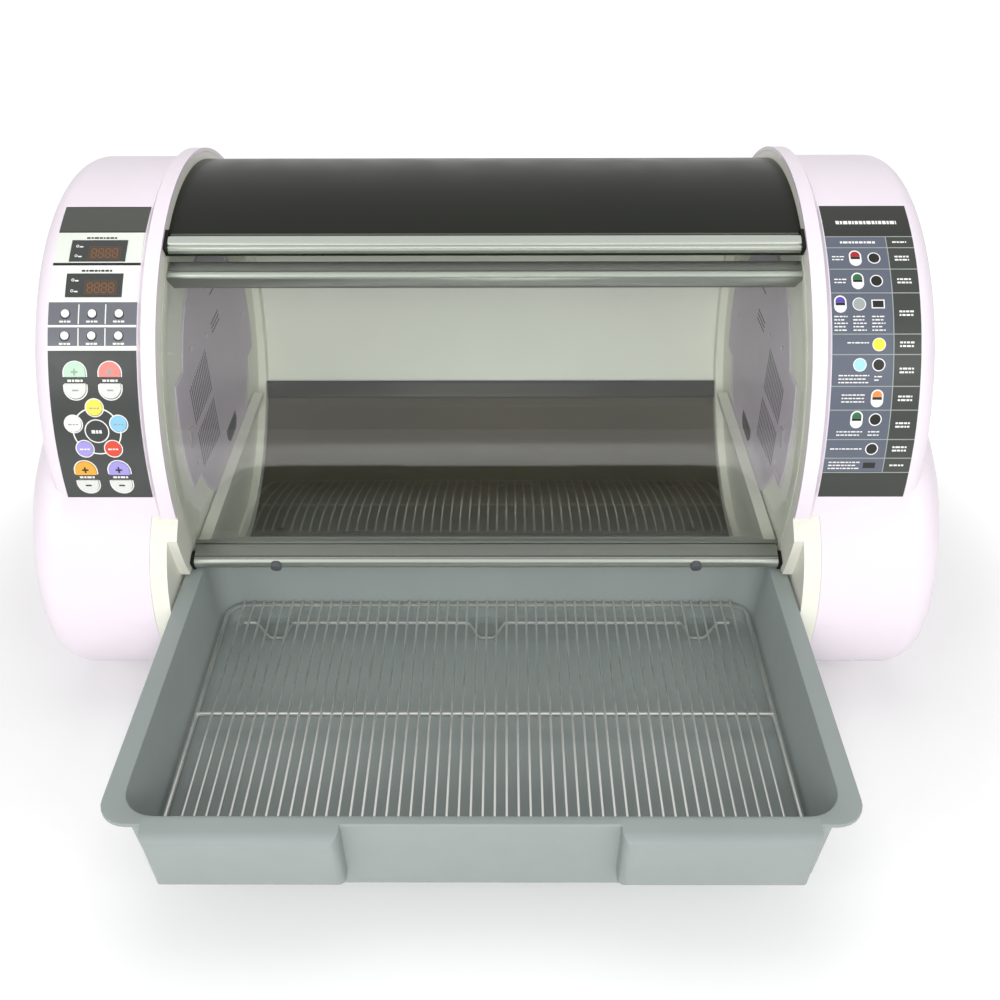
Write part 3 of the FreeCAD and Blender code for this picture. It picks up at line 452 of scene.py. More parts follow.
class Surface(Enum):
    """The object's finishes."""

    # Injection-moulded ABS: an even, slightly soft gloss, with a fine grain from the mould.
    HOUSING = Moulded("lavender_abs_moulded", "#f0e6ef", 0.36)
    FRAME = Moulded("cream_abs_moulded", "#eeeee2", 0.4)
    # Moulded polypropylene: waxier and duller than ABS, with a cloudy colour.
    VENT = Moulded("lilac_polypropylene_moulded", "#cdc1d1", 0.46, cloud=90.0, tone=0.03)
    # Cast acrylic sheet bent hot: a deep, even gloss whose reflections waver slightly.
    COVER = Sheet("black_acrylic_sheet", "#1d1f19", 0.3, shine=0.22)
    LINER = Sheet("bronze_acrylic_sheet", "#4a4536", 0.12)
    # Rolled PVC sheet: a flat, satin surface.
    PANEL = Moulded("cream_pvc_sheet", "#f0f2e8", 0.42)
    # Extruded aluminium, anodised: a satin metal with faint lines along the bar.
    REAR_RAIL = Drawn("dark_anodised_aluminium", "#5d5e58", 0.42)
    # A darker copy of the rails' aluminium: painted shade on the hood rail's sloped strip and the
    # header rail's flat top.
    DIM_ALUMINIUM = Drawn("aluminium_painted_dim_tone", "#8f9388", 0.42)
    # The lightest copy of that aluminium: painted highlight on the header rail's nose, and the lit
    # tone of the hood rail bar and the door rail grip.
    LIT_ALUMINIUM = Drawn("aluminium_painted_lit_tone", "#d2d7ce", 0.34)
    SILL = Drawn("dull_anodised_aluminium", "#a5a8a0", 0.46)
    # The darkest copy of that aluminium: painted shade on the header rail's lower slope, which
    # faces down.
    SHADED_ALUMINIUM = Drawn("aluminium_painted_shade_tone", "#868a82", 0.42)
    # Moulded nylon: a dark, dry surface with small soft highlights.
    CAP = Moulded("black_nylon_moulded", "#141413", 0.45, shine=0.22)
    # Cast clear acrylic: almost no colour, sharp reflections and a few wipe marks.
    ACRYLIC = Clear("clear_acrylic_sheet", "#fcfefc", 0.05)
    # Moulded rubber: matt black, with no clear highlight.
    RUBBER = Moulded("black_rubber", "#101110", 0.75, grain=1.0, depth=0.05, shine=0.2)
    # Vacuum-formed polystyrene: a dry satin grey, a little cloudy where it was stretched.
    TRAY = Moulded("grey_polystyrene_moulded", "#929a98", 0.42, cloud=110.0, tone=0.03)
    # Moulded acetal: dense and slippery, in the cream of the frames.
    RUNNER = Moulded("cream_acetal_moulded", "#e6e6da", 0.35)
    # Drawn stainless wire: bright along its length, with duller spots.
    STEEL = Wire("stainless_steel_wire", "#f2f2ee", 0.34)
    # Reverse-printed polyester film: flat, even fields of ink under a satin face.
    OVERLAY = Banded("printed_polyester_overlay", "#3c403d", 0.32, fields=CONTROL_FIELDS)
    LABEL = Banded("printed_vinyl_label", "#5c6270", 0.36, fields=LABEL_LEFT, split=401.5,
                   second=LABEL_RIGHT)
    # Smoked polycarbonate: dark and clear-faced, so its highlights are sharp.
    WINDOW = Moulded("smoked_polycarbonate", "#3d403e", 0.18, tone=0.01)
    # Moulded acrylic with a diffuser: a milky white that looks lit from inside.
    LENS = Moulded("white_diffuser_acrylic", "#f6f6f2", 0.25)
    # Sand-cast aluminium, bead-blasted: a dull grey with a coarse grain.
    HEATER = Moulded("cast_aluminium", "#8d8f8c", 0.5)
    # Glass-epoxy laminate under solder mask: green, with a thin gloss.
    BOARD = Moulded("glass_epoxy_board", "#2f5a3c", 0.45)
    # Rolled galvanised sheet: pale grey metal with streaks along the rolling.
    ZINC = Drawn("galvanised_steel_sheet", "#a9adab", 0.4)
    # Blow-moulded polypropylene: a milky white, soft at its edges.
    TANK = Moulded("natural_polypropylene", "#e6eaea", 0.3)
    # Embossed, printed polyester keys: clean colours with a satin face.
    KEY_YELLOW = Moulded("yellow_key_film", "#f2e35c", 0.34)
    KEY_WHITE = Moulded("white_key_film", "#f1f1ec", 0.34)
    KEY_BLUE = Moulded("light_blue_key_film", "#8ec9f0", 0.34)
    KEY_VIOLET = Moulded("violet_key_film", "#a79be0", 0.34)
    KEY_RED = Moulded("red_key_film", "#dc4a34", 0.34)
    KEY_BLACK = Moulded("black_key_film", "#3a3e3c", 0.34)
    KEY_GREEN = Moulded("green_key_film", "#bfe0c6", 0.34)
    KEY_ROSE = Moulded("rose_key_film", "#e98a80", 0.34)
    KEY_ORANGE = Moulded("orange_key_film", "#f0ac3a", 0.34)
    KEY_GREY = Moulded("pale_grey_key_film", "#dfe1dc", 0.34)
    # Screen-printed ink: dense and flat, a little duller than the film that carries it.
    INK_WHITE = Moulded("white_print", "#f3f3f0", 0.4)
    INK_BLACK = Moulded("black_print", "#161714", 0.4)
    INK_GREY = Moulded("grey_print", "#9fa6a4", 0.4)
    INK_RED = Moulded("red_print", "#a8202b", 0.4)
    INK_GREEN = Moulded("green_print", "#2f6b45", 0.4)
    INK_VIOLET = Moulded("violet_print", "#5b4bab", 0.4)
    INK_YELLOW = Moulded("yellow_print", "#f3ef3f", 0.4)
    INK_BLUE = Moulded("light_blue_print", "#a5dcf5", 0.4)
    INK_ORANGE = Moulded("orange_print", "#ef8f4d", 0.4)
    INK_UMBER = Moulded("umber_print", "#4b4137", 0.4)
    INK_AMBER = Moulded("amber_print", "#8a5a34", 0.4)


def dress(surface: Surface, *names: str) -> None:
    """Give CAD nodes a finish."""
    for name in names:
        obj = frame["nodes"][name]
        if not obj.material_slots:
            obj.data.materials.append(None)
        for slot in obj.material_slots:
            slot.material = surface.value.material()
        LOG.info("dressed %s in %s", name, surface.value.name)


def deselect() -> None:
    """Leave nothing selected, in object mode."""
    if bpy.context.object and bpy.context.object.mode != "OBJECT":
        bpy.ops.object.mode_set(mode="OBJECT")
    bpy.ops.object.select_all(action="DESELECT")


def apply_modifier(obj: bpy.types.Object, kind: str, **settings: float | bool | str) -> None:
    """Add a modifier with its settings and apply it.

    Args:
        obj: the piece.
        kind: the modifier's type.
        **settings: its settings by name.
    """
    modifier = obj.modifiers.new(kind.title(), kind)
    for key, value in settings.items():
        setattr(modifier, key, value)
    bpy.context.view_layer.objects.active = obj
    bpy.ops.object.modifier_apply(modifier=modifier.name)


def drum_point(x: float, radius: float, degrees: float) -> Vector:
    """A point about the drum's axis, in metres, by its angle above the front horizontal."""
    turn = math.radians(degrees)
    return Vector((x * MM, AXIS_Y - radius * MM * math.cos(turn),
                   AXIS_Z + radius * MM * math.sin(turn)))


def start_piece(name: str) -> bpy.types.Object:
    """Start an empty mesh at the origin and leave it in edit mode.

    Args:
        name: the piece's name.

    Returns:
        The piece, in edit mode with an empty mesh.
    """
    deselect()
    bpy.ops.mesh.primitive_plane_add(size=1.0)
    obj = bpy.context.object
    obj.name = name
    bpy.ops.object.mode_set(mode="EDIT")
    bpy.ops.mesh.select_all(action="SELECT")
    bpy.ops.mesh.delete(type="VERT")
    return obj


def lay_ring(points: list[Vector], filled: bool) -> None:
    """Add a closed ring of vertices, selected, and set it out along an outline.

    Args:
        points: the outline's corners, in metres.
        filled: whether the ring carries a face.
    """
    bpy.ops.mesh.select_all(action="DESELECT")
    bpy.ops.mesh.primitive_circle_add(vertices=len(points), radius=MM,
                                      fill_type="NGON" if filled else "NOTHING")
    mesh = bmesh.from_edit_mesh(bpy.context.edit_object.data)
    half_step = math.pi / len(points)
    circle = sorted((vert for vert in mesh.verts if vert.select),
                    key=lambda vert: (math.atan2(-vert.co.x, vert.co.y) + half_step) % math.tau)
    for vert, point in zip(circle, points):
        vert.co = point
    bmesh.update_edit_mesh(bpy.context.edit_object.data)


def draw_out(step: tuple[float, float, float]) -> None:
    """Extrude what is selected by a step in millimetres."""
    move = {"value": tuple(part * MM for part in step)}
    bpy.ops.mesh.extrude_region_move(TRANSFORM_OT_translate=move)


def loft(rings: list[list[Vector]], filled: bool = True) -> None:
    """Join rings of equally many corners one after another.

    Args:
        rings: outlines, each with its corners in the same order.
        filled: whether the first and last ring are closed, the last by a fan.
    """
    lay_ring(rings[0], filled)
    lift = Vector((0.0, 0.0, MM))
    for before, ring in zip(rings, rings[1:]):
        bpy.ops.mesh.extrude_region_move(TRANSFORM_OT_translate={"value": lift})
        mesh = bmesh.from_edit_mesh(bpy.context.edit_object.data)
        for vert in [vert for vert in mesh.verts if vert.select]:
            source = min(range(len(ring)),
                         key=lambda i, at=vert.co - lift: (before[i] - at).length_squared)
            vert.co = ring[source]
        bmesh.update_edit_mesh(bpy.context.edit_object.data)
    if filled:
        bpy.ops.mesh.poke()


def finish_piece(obj: bpy.types.Object, surface: Surface, body: str,
                 replaced: tuple[str, ...] = (), edge: float = 0.0) -> bpy.types.Object:
    """Close a piece's making: outward faces, rounded edges, finish and place in the model.

    Args:
        obj: the piece, in edit mode.
        surface: its finish.
        body: the body that carries it.
        replaced: CAD nodes that it stands for.
        edge: width of its rounded edges in millimetres; 0 leaves them sharp.

    Returns:
        The piece.
    """
    bpy.ops.mesh.select_all(action="SELECT")
    bpy.ops.mesh.normals_make_consistent(inside=False)
    bpy.ops.object.mode_set(mode="OBJECT")
    if edge:
        apply_modifier(obj, "BEVEL", width=edge * MM, segments=2, limit_method="ANGLE",
                       angle_limit=SHARP_EDGE)
    bpy.ops.object.shade_smooth_by_angle(angle=SMOOTH_UP_TO)
    obj.data.materials.append(surface.value.material())
    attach(obj, body)
    if replaced:
        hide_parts(*replaced)
    LOG.info("made %s", obj.name)
    return obj


@dataclass(frozen=True)
class Mark:
    """A flat printed shape.

    Attributes:
        x: station across the object.
        up: arc length up the drum's skin.
    """

    x: float
    up: float

    def draw(self) -> None:
        """Add the shape, flat, to the mesh in edit mode."""
        raise NotImplementedError

    def spot(self) -> tuple[float, float, float]:
        """The shape's centre on the flat sheet, in metres."""
        return (self.x * MM, self.up * MM, 0.0)

    def moved(self, x: float, up: float) -> "Mark":
        """The same shape, that far on."""
        return replace(self, x=self.x + x, up=self.up + up)


@dataclass(frozen=True)
class Bar(Mark):
    """A plain bar.

    Attributes:
        width: size across.
        height: size up the arc.
        step: longest run up the arc that stays straight once the sheet is wrapped.
    """

    width: float
    height: float
    step: float = 6.0

    def draw(self) -> None:
        """Add the bar, cut where it has to follow the drum."""
        bpy.ops.mesh.primitive_plane_add(size=MM, location=self.spot())
        bpy.ops.transform.resize(value=(self.width, self.height, 1.0), center_override=self.spot())
        cuts = int(self.height / self.step)
        if cuts:
            bpy.ops.mesh.subdivide(number_cuts=cuts)


@dataclass(frozen=True)
class Dot(Mark):
    """A round spot.

    Attributes:
        radius: its radius.
        sides: number of sides that draw the circle.
    """

    radius: float
    sides: int = 28

    def draw(self) -> None:
        """Add the disc as a fan, so that it can follow the drum."""
        bpy.ops.mesh.primitive_circle_add(vertices=self.sides, radius=self.radius * MM,
                                          fill_type="NGON", location=self.spot())
        bpy.ops.mesh.poke()


@dataclass(frozen=True)
class Ring(Mark):
    """A circle drawn with a line.

    Attributes:
        radius: outer radius.
        line: width of the line.
        sides: number of sides that draw the circle.
    """

    radius: float
    line: float
    sides: int = 40

    def draw(self) -> None:
        """Inset a disc and take its middle out."""
        bpy.ops.mesh.primitive_circle_add(vertices=self.sides, radius=self.radius * MM,
                                          fill_type="NGON", location=self.spot())
        bpy.ops.mesh.inset(thickness=self.line * MM)
        bpy.ops.mesh.delete(type="FACE")


@dataclass(frozen=True)
class Pill(Mark):
    """An upright capsule, whole, drawn with a line, or its upper part alone.

    Attributes:
        width: size across.
        length: size up the arc.
        line: width of the outline; 0 fills it.
        keep_above: height over the centre below which the capsule is cut away, if given.
        sides: number of sides that draw its two round ends.
    """

    width: float
    length: float
    line: float = 0.0
    keep_above: float | None = None
    sides: int = 32

    def draw(self) -> None:
        """Stretch a disc upwards by its upper half, then inset or cut it."""
        stretch = (self.length - self.width) * MM
        x, y, z = self.spot()
        bpy.ops.mesh.primitive_circle_add(
            vertices=self.sides, radius=self.width / 2 * MM, fill_type="NGON",
            location=(x, y - stretch / 2, z), rotation=(0.0, 0.0, math.pi / self.sides))
        mesh = bmesh.from_edit_mesh(bpy.context.edit_object.data)
        face = next(f for f in mesh.faces if f.select)
        for vert in mesh.verts:
            vert.select = False
        for vert in face.verts:
            vert.select = vert.co.y > y - stretch / 2
            if vert.select:
                vert.co.y += stretch
        for vert in face.verts:
            vert.select = True
        mesh.select_flush(True)
        bmesh.update_edit_mesh(bpy.context.edit_object.data)
        if self.line:
            bpy.ops.mesh.inset(thickness=self.line * MM)
            bpy.ops.mesh.delete(type="FACE")
        elif self.keep_above is not None:
            bpy.ops.mesh.bisect(plane_co=(x, y + self.keep_above * MM, 0.0),
                                plane_no=(0.0, 1.0, 0.0), clear_inner=True)
        else:
            bpy.ops.mesh.poke()


def words(x_low: float, x_high: float, up: float, height: float = 1.3,
          shift: int = 0) -> list[Bar]:
    """A line of plain dashes in place of lettering, as long as words, between two stations.

    Args:
        x_low: station where the line starts.
        x_high: station where it ends.
        up: its arc height.
        height: height of a dash.
        shift: first of the word lengths.

    Returns:
        The dashes.
    """
    shortest = 1.0
    bars, x, i = [], x_low, shift
    while x < x_high - shortest:
        length = min(WORD_LENGTHS[i % len(WORD_LENGTHS)], x_high - x)
        bars.append(Bar(x + length / 2, up, length, height))
        x += length + WORD_GAP
        i += 1
    return bars


@dataclass
class DrumPrint:
    """Printed marks of one ink that follow a drum's skin.

    Attributes:
        name: name of the piece.
        ink: the finish of the ink.
        slot: the record's material slot that the ink belongs to; not used.
        radius: radius of the skin that the marks lie on.
        body: the body that carries the marks.
        marks: the shapes.
        lift: height of the ink's top over the skin.
    """

    name: str
    ink: Surface
    slot: str
    radius: float
    body: str
    marks: list[Mark]
    lift: float = 0.12

    def wrapped(self, point: Vector) -> Vector:
        """Where a point of the flat sheet lies on the drum.

        Args:
            point: the point, with its arc height as y and its lift as z.

        Returns:
            The point on the drum.
        """
        skin = self.radius * MM
        turn = point.y / skin
        reach = skin + point.z
        return Vector((point.x, AXIS_Y - reach * math.cos(turn), AXIS_Z + reach * math.sin(turn)))

    def build(self) -> bpy.types.Object:
        """Draw the marks flat, give them thickness and wrap them round the drum.

        Returns:
            The piece.
        """
        obj = start_piece(self.name)
        for mark in self.marks:
            bpy.ops.mesh.select_all(action="DESELECT")
            mark.draw()
        bpy.ops.object.mode_set(mode="OBJECT")
        apply_modifier(obj, "SOLIDIFY", thickness=self.lift * MM, offset=1.0)
        for vert in obj.data.vertices:
            vert.co = self.wrapped(vert.co)
        obj.data.materials.append(self.ink.value.material())
        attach(obj, self.body)
        LOG.info("printed %s: %d marks", self.name, len(self.marks))
        return obj


def swelling(start: Corner, stop: Corner, rise: float, count: int = 9) -> list[Corner]:
    """Half an ellipse from one corner to another, both included.

    Args:
        start: first corner, a radius and an angle.
        stop: last corner.
        rise: height of its crest.
        count: number of corners.

    Returns:
        Corners of the half ellipse.
    """
    corners = []
    for i in range(count):
        turn = math.pi * i / (count - 1)
        share = (1.0 - math.cos(turn)) / 2
        corners.append((start[0] + (stop[0] - start[0]) * share + rise * math.sin(turn),
                        start[1] + (stop[1] - start[1]) * share))
    return corners


@dataclass
class Rail:
    """An extruded bar along the chamber.

    Attributes:
        name: name of the piece.
        surface: its finish.
        slot: the record's material slot that it belongs to; not used.
        half: half its length.
        section: corners of its section, each a radius and an angle about the drum's axis.
        body: the body that carries it.
        replaced: CAD nodes that it stands for.
        edge: width of its rounded edges.
        lit_and_shaded_tones: lighter and darker finishes of its facets, each from an angle upwards,
            as painted highlight and painted shade.
    """

    name: str
    surface: Surface
    slot: str
    half: float
    section: list[Corner]
    body: str = "cabinet"
    replaced: tuple[str, ...] = ()
    edge: float = 0.0
    lit_and_shaded_tones: tuple[tuple[float, Surface], ...] = ()

    def paint_light_and_shade(self, obj: bpy.types.Object) -> None:
        """Give the facets above each angle their own lighter or darker finish: painted highlight
        and painted shade by which way they face.
        """
        for low, surface in self.lit_and_shaded_tones:
            obj.data.materials.append(surface.value.material())
            for face in obj.data.polygons:
                reach, rise = AXIS_Y - face.center.y, face.center.z - AXIS_Z
                if math.degrees(math.atan2(rise, reach)) > low:
                    face.material_index = len(obj.data.materials) - 1

    def build(self) -> bpy.types.Object:
        """Draw the section and extrude it along X.

        Returns:
            The piece.
        """
        obj = start_piece(self.name)
        lay_ring([drum_point(-self.half, *corner) for corner in self.section], True)
        draw_out((2 * self.half, 0.0, 0.0))
        finish_piece(obj, self.surface, self.body, self.replaced, self.edge)
        self.paint_light_and_shade(obj)
        return obj


class Assembly:
    """A sub-assembly of the object."""

    def build(self) -> None:
        """Dress the sub-assembly's CAD nodes and add its own pieces."""
        raise NotImplementedError


@dataclass
class VentCover:
    """Lilac cover over the fan duct on an end wall: an eared disc with slots and a raised rim.

    Places on it are (y, z) from the drum's axis.

    Attributes:
        side: 1 on the right, -1 on the left.
        wall: X of the end wall's face.
        thick: thickness of the cover.
        back: Y of the disc's centre.
        disc: radius of the disc.
        ear: radius of the ears in front and behind.
        ear_low: level of the ears' lower ends.
        ear_high: level of the ears' upper ends.
        rim: width of the raised rim.
        rim_foot: height off the wall and inset of the rim's outer foot.
        rim_soft: drop of the rim's outer edge, width of its rounding and drop of its inner edge.
        lip: height of the rim over the field.
        slot_first: Y of the front slot.
        slot_pitch: distance between slots.
        slot_count: number of slots.
        slot_wide: width of a slot.
        slot_high: level of the slots' upper ends.
        slot_low: level of the slots' lower ends.
        slot_grow: how much further each next slot reaches at either end.
        bridge: level of the bridge across the slots, and half its height.
        windows: front, rear, lower and upper edge of each other opening.
        round_share: share of an opening's smaller side that its low corners are cut by.
        dark: how deep an opening's dark plate of painted shade lies under the field, and how thick
            it is.
        screws: place of each screw.
        screw: radius and height of a screw head, and width and depth of its recess.
        clip: corners of the spring clip in front.
        clip_high: height of the clip over the field.
        sink: how far the screws and the clip start inside the cover.
    """

    side: int
    wall: float = 329.7
    thick: float = 1.7
    back: float = 10.0
    disc: float = 150.0
    ear: float = 179.0
    ear_low: float = -58.0
    ear_high: float = 70.0
    rim: float = 5.0
    rim_foot: tuple[float, float] = (0.3, 0.2)
    rim_soft: tuple[float, float, float] = (0.3, 0.4, 0.6)
    lip: float = 0.5
    slot_first: float = -112.0
    slot_pitch: float = 6.5
    slot_count: int = 13
    slot_wide: float = 2.6
    slot_high: float = 41.0
    slot_low: float = -61.0
    slot_grow: float = 0.7
    bridge: tuple[float, float] = (-10.0, 5.0)
    windows: tuple[tuple[float, float, float, float], ...] = (
        (8.0, 48.0, 60.0, 62.0), (8.0, 48.0, 54.5, 56.5), (8.0, 48.0, 49.0, 51.0),
        (24.0, 48.0, 90.6, 92.6), (-3.0, 50.0, -103.0, -82.0))
    round_share: float = 0.45
    dark: tuple[float, float] = (0.2, 0.26)
    screws: tuple[tuple[float, float], ...] = ((-82.0, 76.0), (-19.5, 60.5), (-128.0, -44.0),
                                               (96.0, 82.0), (150.0, 4.0))
    screw: tuple[float, float, float, float] = (2.6, 1.2, 0.6, 0.5)
    clip: tuple[tuple[float, float], ...] = ((-130.0, 5.0), (-141.5, 6.5), (-144.5, -14.0),
                                             (-142.0, -14.5), (-139.5, 4.0), (-130.3, 2.8))
    clip_high: float = 1.6
    sink: float = 0.2

    def spot(self, x: float, y: float, z: float) -> Vector:
        """A point from its distance off the wall and its place about the axis, in metres."""
        return Vector((self.side * (self.wall - x) * MM, AXIS_Y + y * MM, AXIS_Z + z * MM))

    def outline(self, inset: float) -> list[tuple[float, float]]:
        """The cover's outline, drawn in by a margin: four arcs joined by the ears' level ends.

        Args:
            inset: the margin.

        Returns:
            Corners of the outline.
        """
        disc, ear = self.disc - inset, self.ear - inset
        high, low = self.ear_high - inset, self.ear_low + inset
        corners: list[tuple[float, float]] = []

        def arc(radius: float, start: float, stop: float, count: int) -> None:
            """Add an arc between two angles."""
            for i in range(count + 1):
                turn = start + (stop - start) * i / count
                corners.append((self.back + radius * math.cos(turn), radius * math.sin(turn)))

        disc_high, disc_low = math.asin(high / disc), math.asin(low / disc)
        ear_high, ear_low = math.asin(high / ear), math.asin(low / ear)
        long, short = 28, 12
        arc(disc, disc_high, math.pi - disc_high, long)
        arc(ear, math.pi - ear_high, math.pi - ear_low, short)
        arc(disc, math.pi - disc_low, math.tau + disc_low, long)
        arc(ear, ear_low, ear_high, short)
        return corners

    def openings(self) -> list[tuple[float, float, float, float]]:
        """Slots and windows as (front, rear, low, high).

        Returns:
            The openings' edges.
        """
        level, half = self.bridge
        boxes = []
        for i in range(self.slot_count):
            y, grow = self.slot_first + i * self.slot_pitch, i * self.slot_grow
            boxes.append((y, y + self.slot_wide, self.slot_low - grow, level - half))
            boxes.append((y, y + self.slot_wide, level + half, self.slot_high + grow))
        return boxes + list(self.windows)

    def slots(self, name: str) -> None:
        """The openings as dark plates of painted shade on the uncut field, for the shadowed duct
        behind: each has its two low corners cut.

        Args:
            name: name of the cover.
        """
        obj = start_piece(f"{name}_slots")
        deep, thick = self.dark
        for front, rear, low, high in self.openings():
            cut = min(high - low, rear - front) * self.round_share
            corners = [(front, low + cut), (front + cut, low), (rear - cut, low), (rear, low + cut),
                       (rear, high), (front, high)]
            lay_ring([self.spot(self.thick - self.lip - deep, *corner) for corner in corners], True)
            draw_out((-self.side * thick, 0.0, 0.0))
        # Black nylon stands for the shade in the openings: these plates are painted shade, not a
        # part.
        finish_piece(obj, Surface.CAP, "cabinet")

    def raised_rim(self, name: str) -> None:
        """Flat rim that stands over the field, with rounded edges.

        Args:
            name: name of the cover.
        """
        obj = start_piece(f"{name}_rim")
        far = self.thick
        outer, soft, inner = self.rim_soft
        profile = (self.rim_foot, (far - outer, 0.0), (far, soft), (far, self.rim - soft),
                   (far - inner, self.rim))
        loft([[self.spot(x, *corner) for corner in self.outline(inset)]
              for x, inset in profile], False)
        finish_piece(obj, Surface.VENT, "cabinet")

    def fixings(self, name: str) -> None:
        """Screw heads with a recess, and the spring clip.

        Args:
            name: name of the cover.
        """
        foot = self.thick - self.sink
        radius, height, wide, deep = self.screw
        obj = start_piece(f"{name}_screws")
        for y, z in self.screws:
            lay_ring([self.spot(foot, y + radius * math.cos(turn), z + radius * math.sin(turn))
                      for turn in (math.pi * i / 8 for i in range(16))], True)
            draw_out((-self.side * height, 0.0, 0.0))
            bpy.ops.mesh.inset(thickness=wide * MM)
            draw_out((self.side * deep, 0.0, 0.0))
        finish_piece(obj, Surface.STEEL, "cabinet", edge=0.2)
        obj = start_piece(f"{name}_clip")
        lay_ring([self.spot(foot, *corner) for corner in self.clip], True)
        draw_out((-self.side * self.clip_high, 0.0, 0.0))
        finish_piece(obj, Surface.STEEL, "cabinet", edge=0.2)

    def build(self) -> None:
        """Extrude the cover from its outline and add its rim, slots and small parts."""
        name = "right_vent_cover" if self.side > 0 else "left_vent_cover"
        obj = start_piece(f"{name}_moulding")
        lay_ring([self.spot(0.0, *corner) for corner in self.outline(0.0)], True)
        draw_out((-self.side * (self.thick - self.lip), 0.0, 0.0))
        finish_piece(obj, Surface.VENT, "cabinet", (name,))
        self.slots(name)
        self.raised_rim(name)
        self.fixings(name)


@dataclass
class Housings(Assembly):
    """The two end housings with the frames, vent covers and feet that they carry."""

    def build(self) -> None:
        """Dress the shells and make the vent covers."""
        dress(Surface.HOUSING, "left_housing", "right_housing")
        dress(Surface.FRAME, "left_inner_frame", "right_inner_frame")
        dress(Surface.RUBBER, "feet")
        for side in (-1, 1):
            VentCover(side).build()


@dataclass
class Chamber(Assembly):
    """The curved sheets and rails that cross the chamber.

    Attributes:
        half: half the clear length between the end rings.
        cap: length of a rail's end cap.
        hood: base radius, crest radius and the lower and upper angle of the hood rail.
        strip: thickness of the hood rail's strip at the top, its drop from the crest at the
            bottom, and the angle there.
        bulge: drop of the bulge's two ends from the crest, their angles, and its rise.
        bead: the same for the bead under the bulge.
        grooves: drop from the crest and upper and lower angle of each groove, from the top down.
        header: inner radius, crest radius and the lower and upper angle of the header rail.
        nose: rise of the header rail's nose, and its lower and upper end as shares of the height.
        notch: depth of the notch over the nose, and how far it reaches up and down.
        toe: drop of the header rail's lower edge from the crest.
        chamfer: cut across the header rail's lower end corners.
        sill: inner and outer radius and the angles of the front sill.
        rear: inner and outer radius and the angles of the rear rail.
        lap: inner and outer radius and the angles of the liner's upper edge under that rail.
    """

    half: float = 319.7
    cap: float = 3.9
    hood: tuple[float, float, float, float] = (248.7, 257.5, 57.6, 62.9)
    strip: tuple[float, float, float] = (2.4, 1.8, 4.1)
    bulge: tuple[float, float, float, float, float] = (1.8, 2.0, 3.7, 1.3, 1.8)
    bead: tuple[float, float, float, float, float] = (2.4, 2.6, 0.95, 0.5, 0.6)
    grooves: tuple[tuple[float, float, float], ...] = ((3.0, 4.0, 3.75), (3.0, 1.2, 1.0),
                                                      (3.8, 0.4, 0.0))
    header: tuple[float, float, float, float] = (229.5, 236.5, 50.8, 57.4)
    nose: tuple[float, float, float] = (1.6, 0.34, 0.62)
    notch: tuple[float, float, float] = (0.6, 0.15, 0.1)
    toe: float = 4.0
    chamfer: float = 7.0
    sill: tuple[float, float, float, float] = (231.0, 236.0, -26.2, -22.3)
    rear: tuple[float, float, float, float] = (239.0, 250.0, 211.8, 217.4)
    lap: tuple[float, float, float, float] = (243.5, 246.0, 217.4, 221.0)

    def hood_rail(self) -> None:
        """Hood rail: a sloped strip, then a round bulge and a bead between two grooves."""
        base, crest, low, high = self.hood
        half = self.half - self.cap
        thick, drop, foot = self.strip
        strip = [(base, high), (base + thick, high), (crest - drop, low + foot),
                 (base, low + foot)]
        # The sloped strip takes a darker copy of the bar's aluminium: painted shade.
        Rail("hood_rail_strip", Surface.DIM_ALUMINIUM, "satin_aluminium", half, strip, edge=0.3).build()

        def hump(ends: tuple[float, float, float, float, float], count: int) -> list[Corner]:
            """A swelling given by the drop and angle of its two ends, and its rise."""
            first, second, start, stop, rise = ends
            return swelling((crest - first, low + start), (crest - second, low + stop), rise, count)

        first, second, third = ([(crest - drop, low + start), (crest - drop, low + stop)]
                                for drop, start, stop in self.grooves)
        section = [(base, first[0][1]), *first, *hump(self.bulge, 9), *second,
                   *hump(self.bead, 5), *third, (base, low)]
        Rail("hood_rail_bar", Surface.LIT_ALUMINIUM, "bright_aluminium", half, section,
             replaced=("hood_rail",)).build()

    def header_rail(self) -> None:
        """Header rail: a flat upper part, a round nose and a slope, with its low corners cut."""
        inner, crest, low, high = self.header
        rise, low_share, high_share = self.nose
        notch, above, below = self.notch
        flat, toe, span = crest - rise, crest - self.toe, high - low
        nose_high, nose_low = low + high_share * span, low + low_share * span
        section = [(inner, high), (flat, high), (flat, nose_high + above),
                   (flat - notch, nose_high),
                   *swelling((flat, nose_high - below), (flat, nose_low), rise), (toe, low),
                   (inner, low)]
        # The nose takes the lightest aluminium as painted highlight; the flat top and the lower
        # slope take darker copies as painted shade.
        lit_and_shaded_tones = ((nose_low, Surface.LIT_ALUMINIUM), (nose_high - 2 * below, Surface.DIM_ALUMINIUM))
        rail = Rail("header_rail_bar", Surface.SHADED_ALUMINIUM, "satin_aluminium", self.half, section,
                    replaced=("header_rail",), lit_and_shaded_tones=lit_and_shaded_tones)
        obj = rail.build()
        down = (drum_point(0.0, crest, low) - drum_point(0.0, crest, low + 1.0)).normalized()
        deselect()
        bpy.context.view_layer.objects.active = obj
        obj.select_set(True)
        bpy.ops.object.mode_set(mode="EDIT")
        for side in (-1, 1):
            bpy.ops.mesh.select_all(action="SELECT")
            spot = drum_point(side * (self.half - self.chamfer), crest, low)
            bpy.ops.mesh.bisect(plane_co=spot, plane_no=Vector((side, 0.0, 0.0)) + down,
                                use_fill=True, clear_outer=True)
        bpy.ops.object.mode_set(mode="OBJECT")

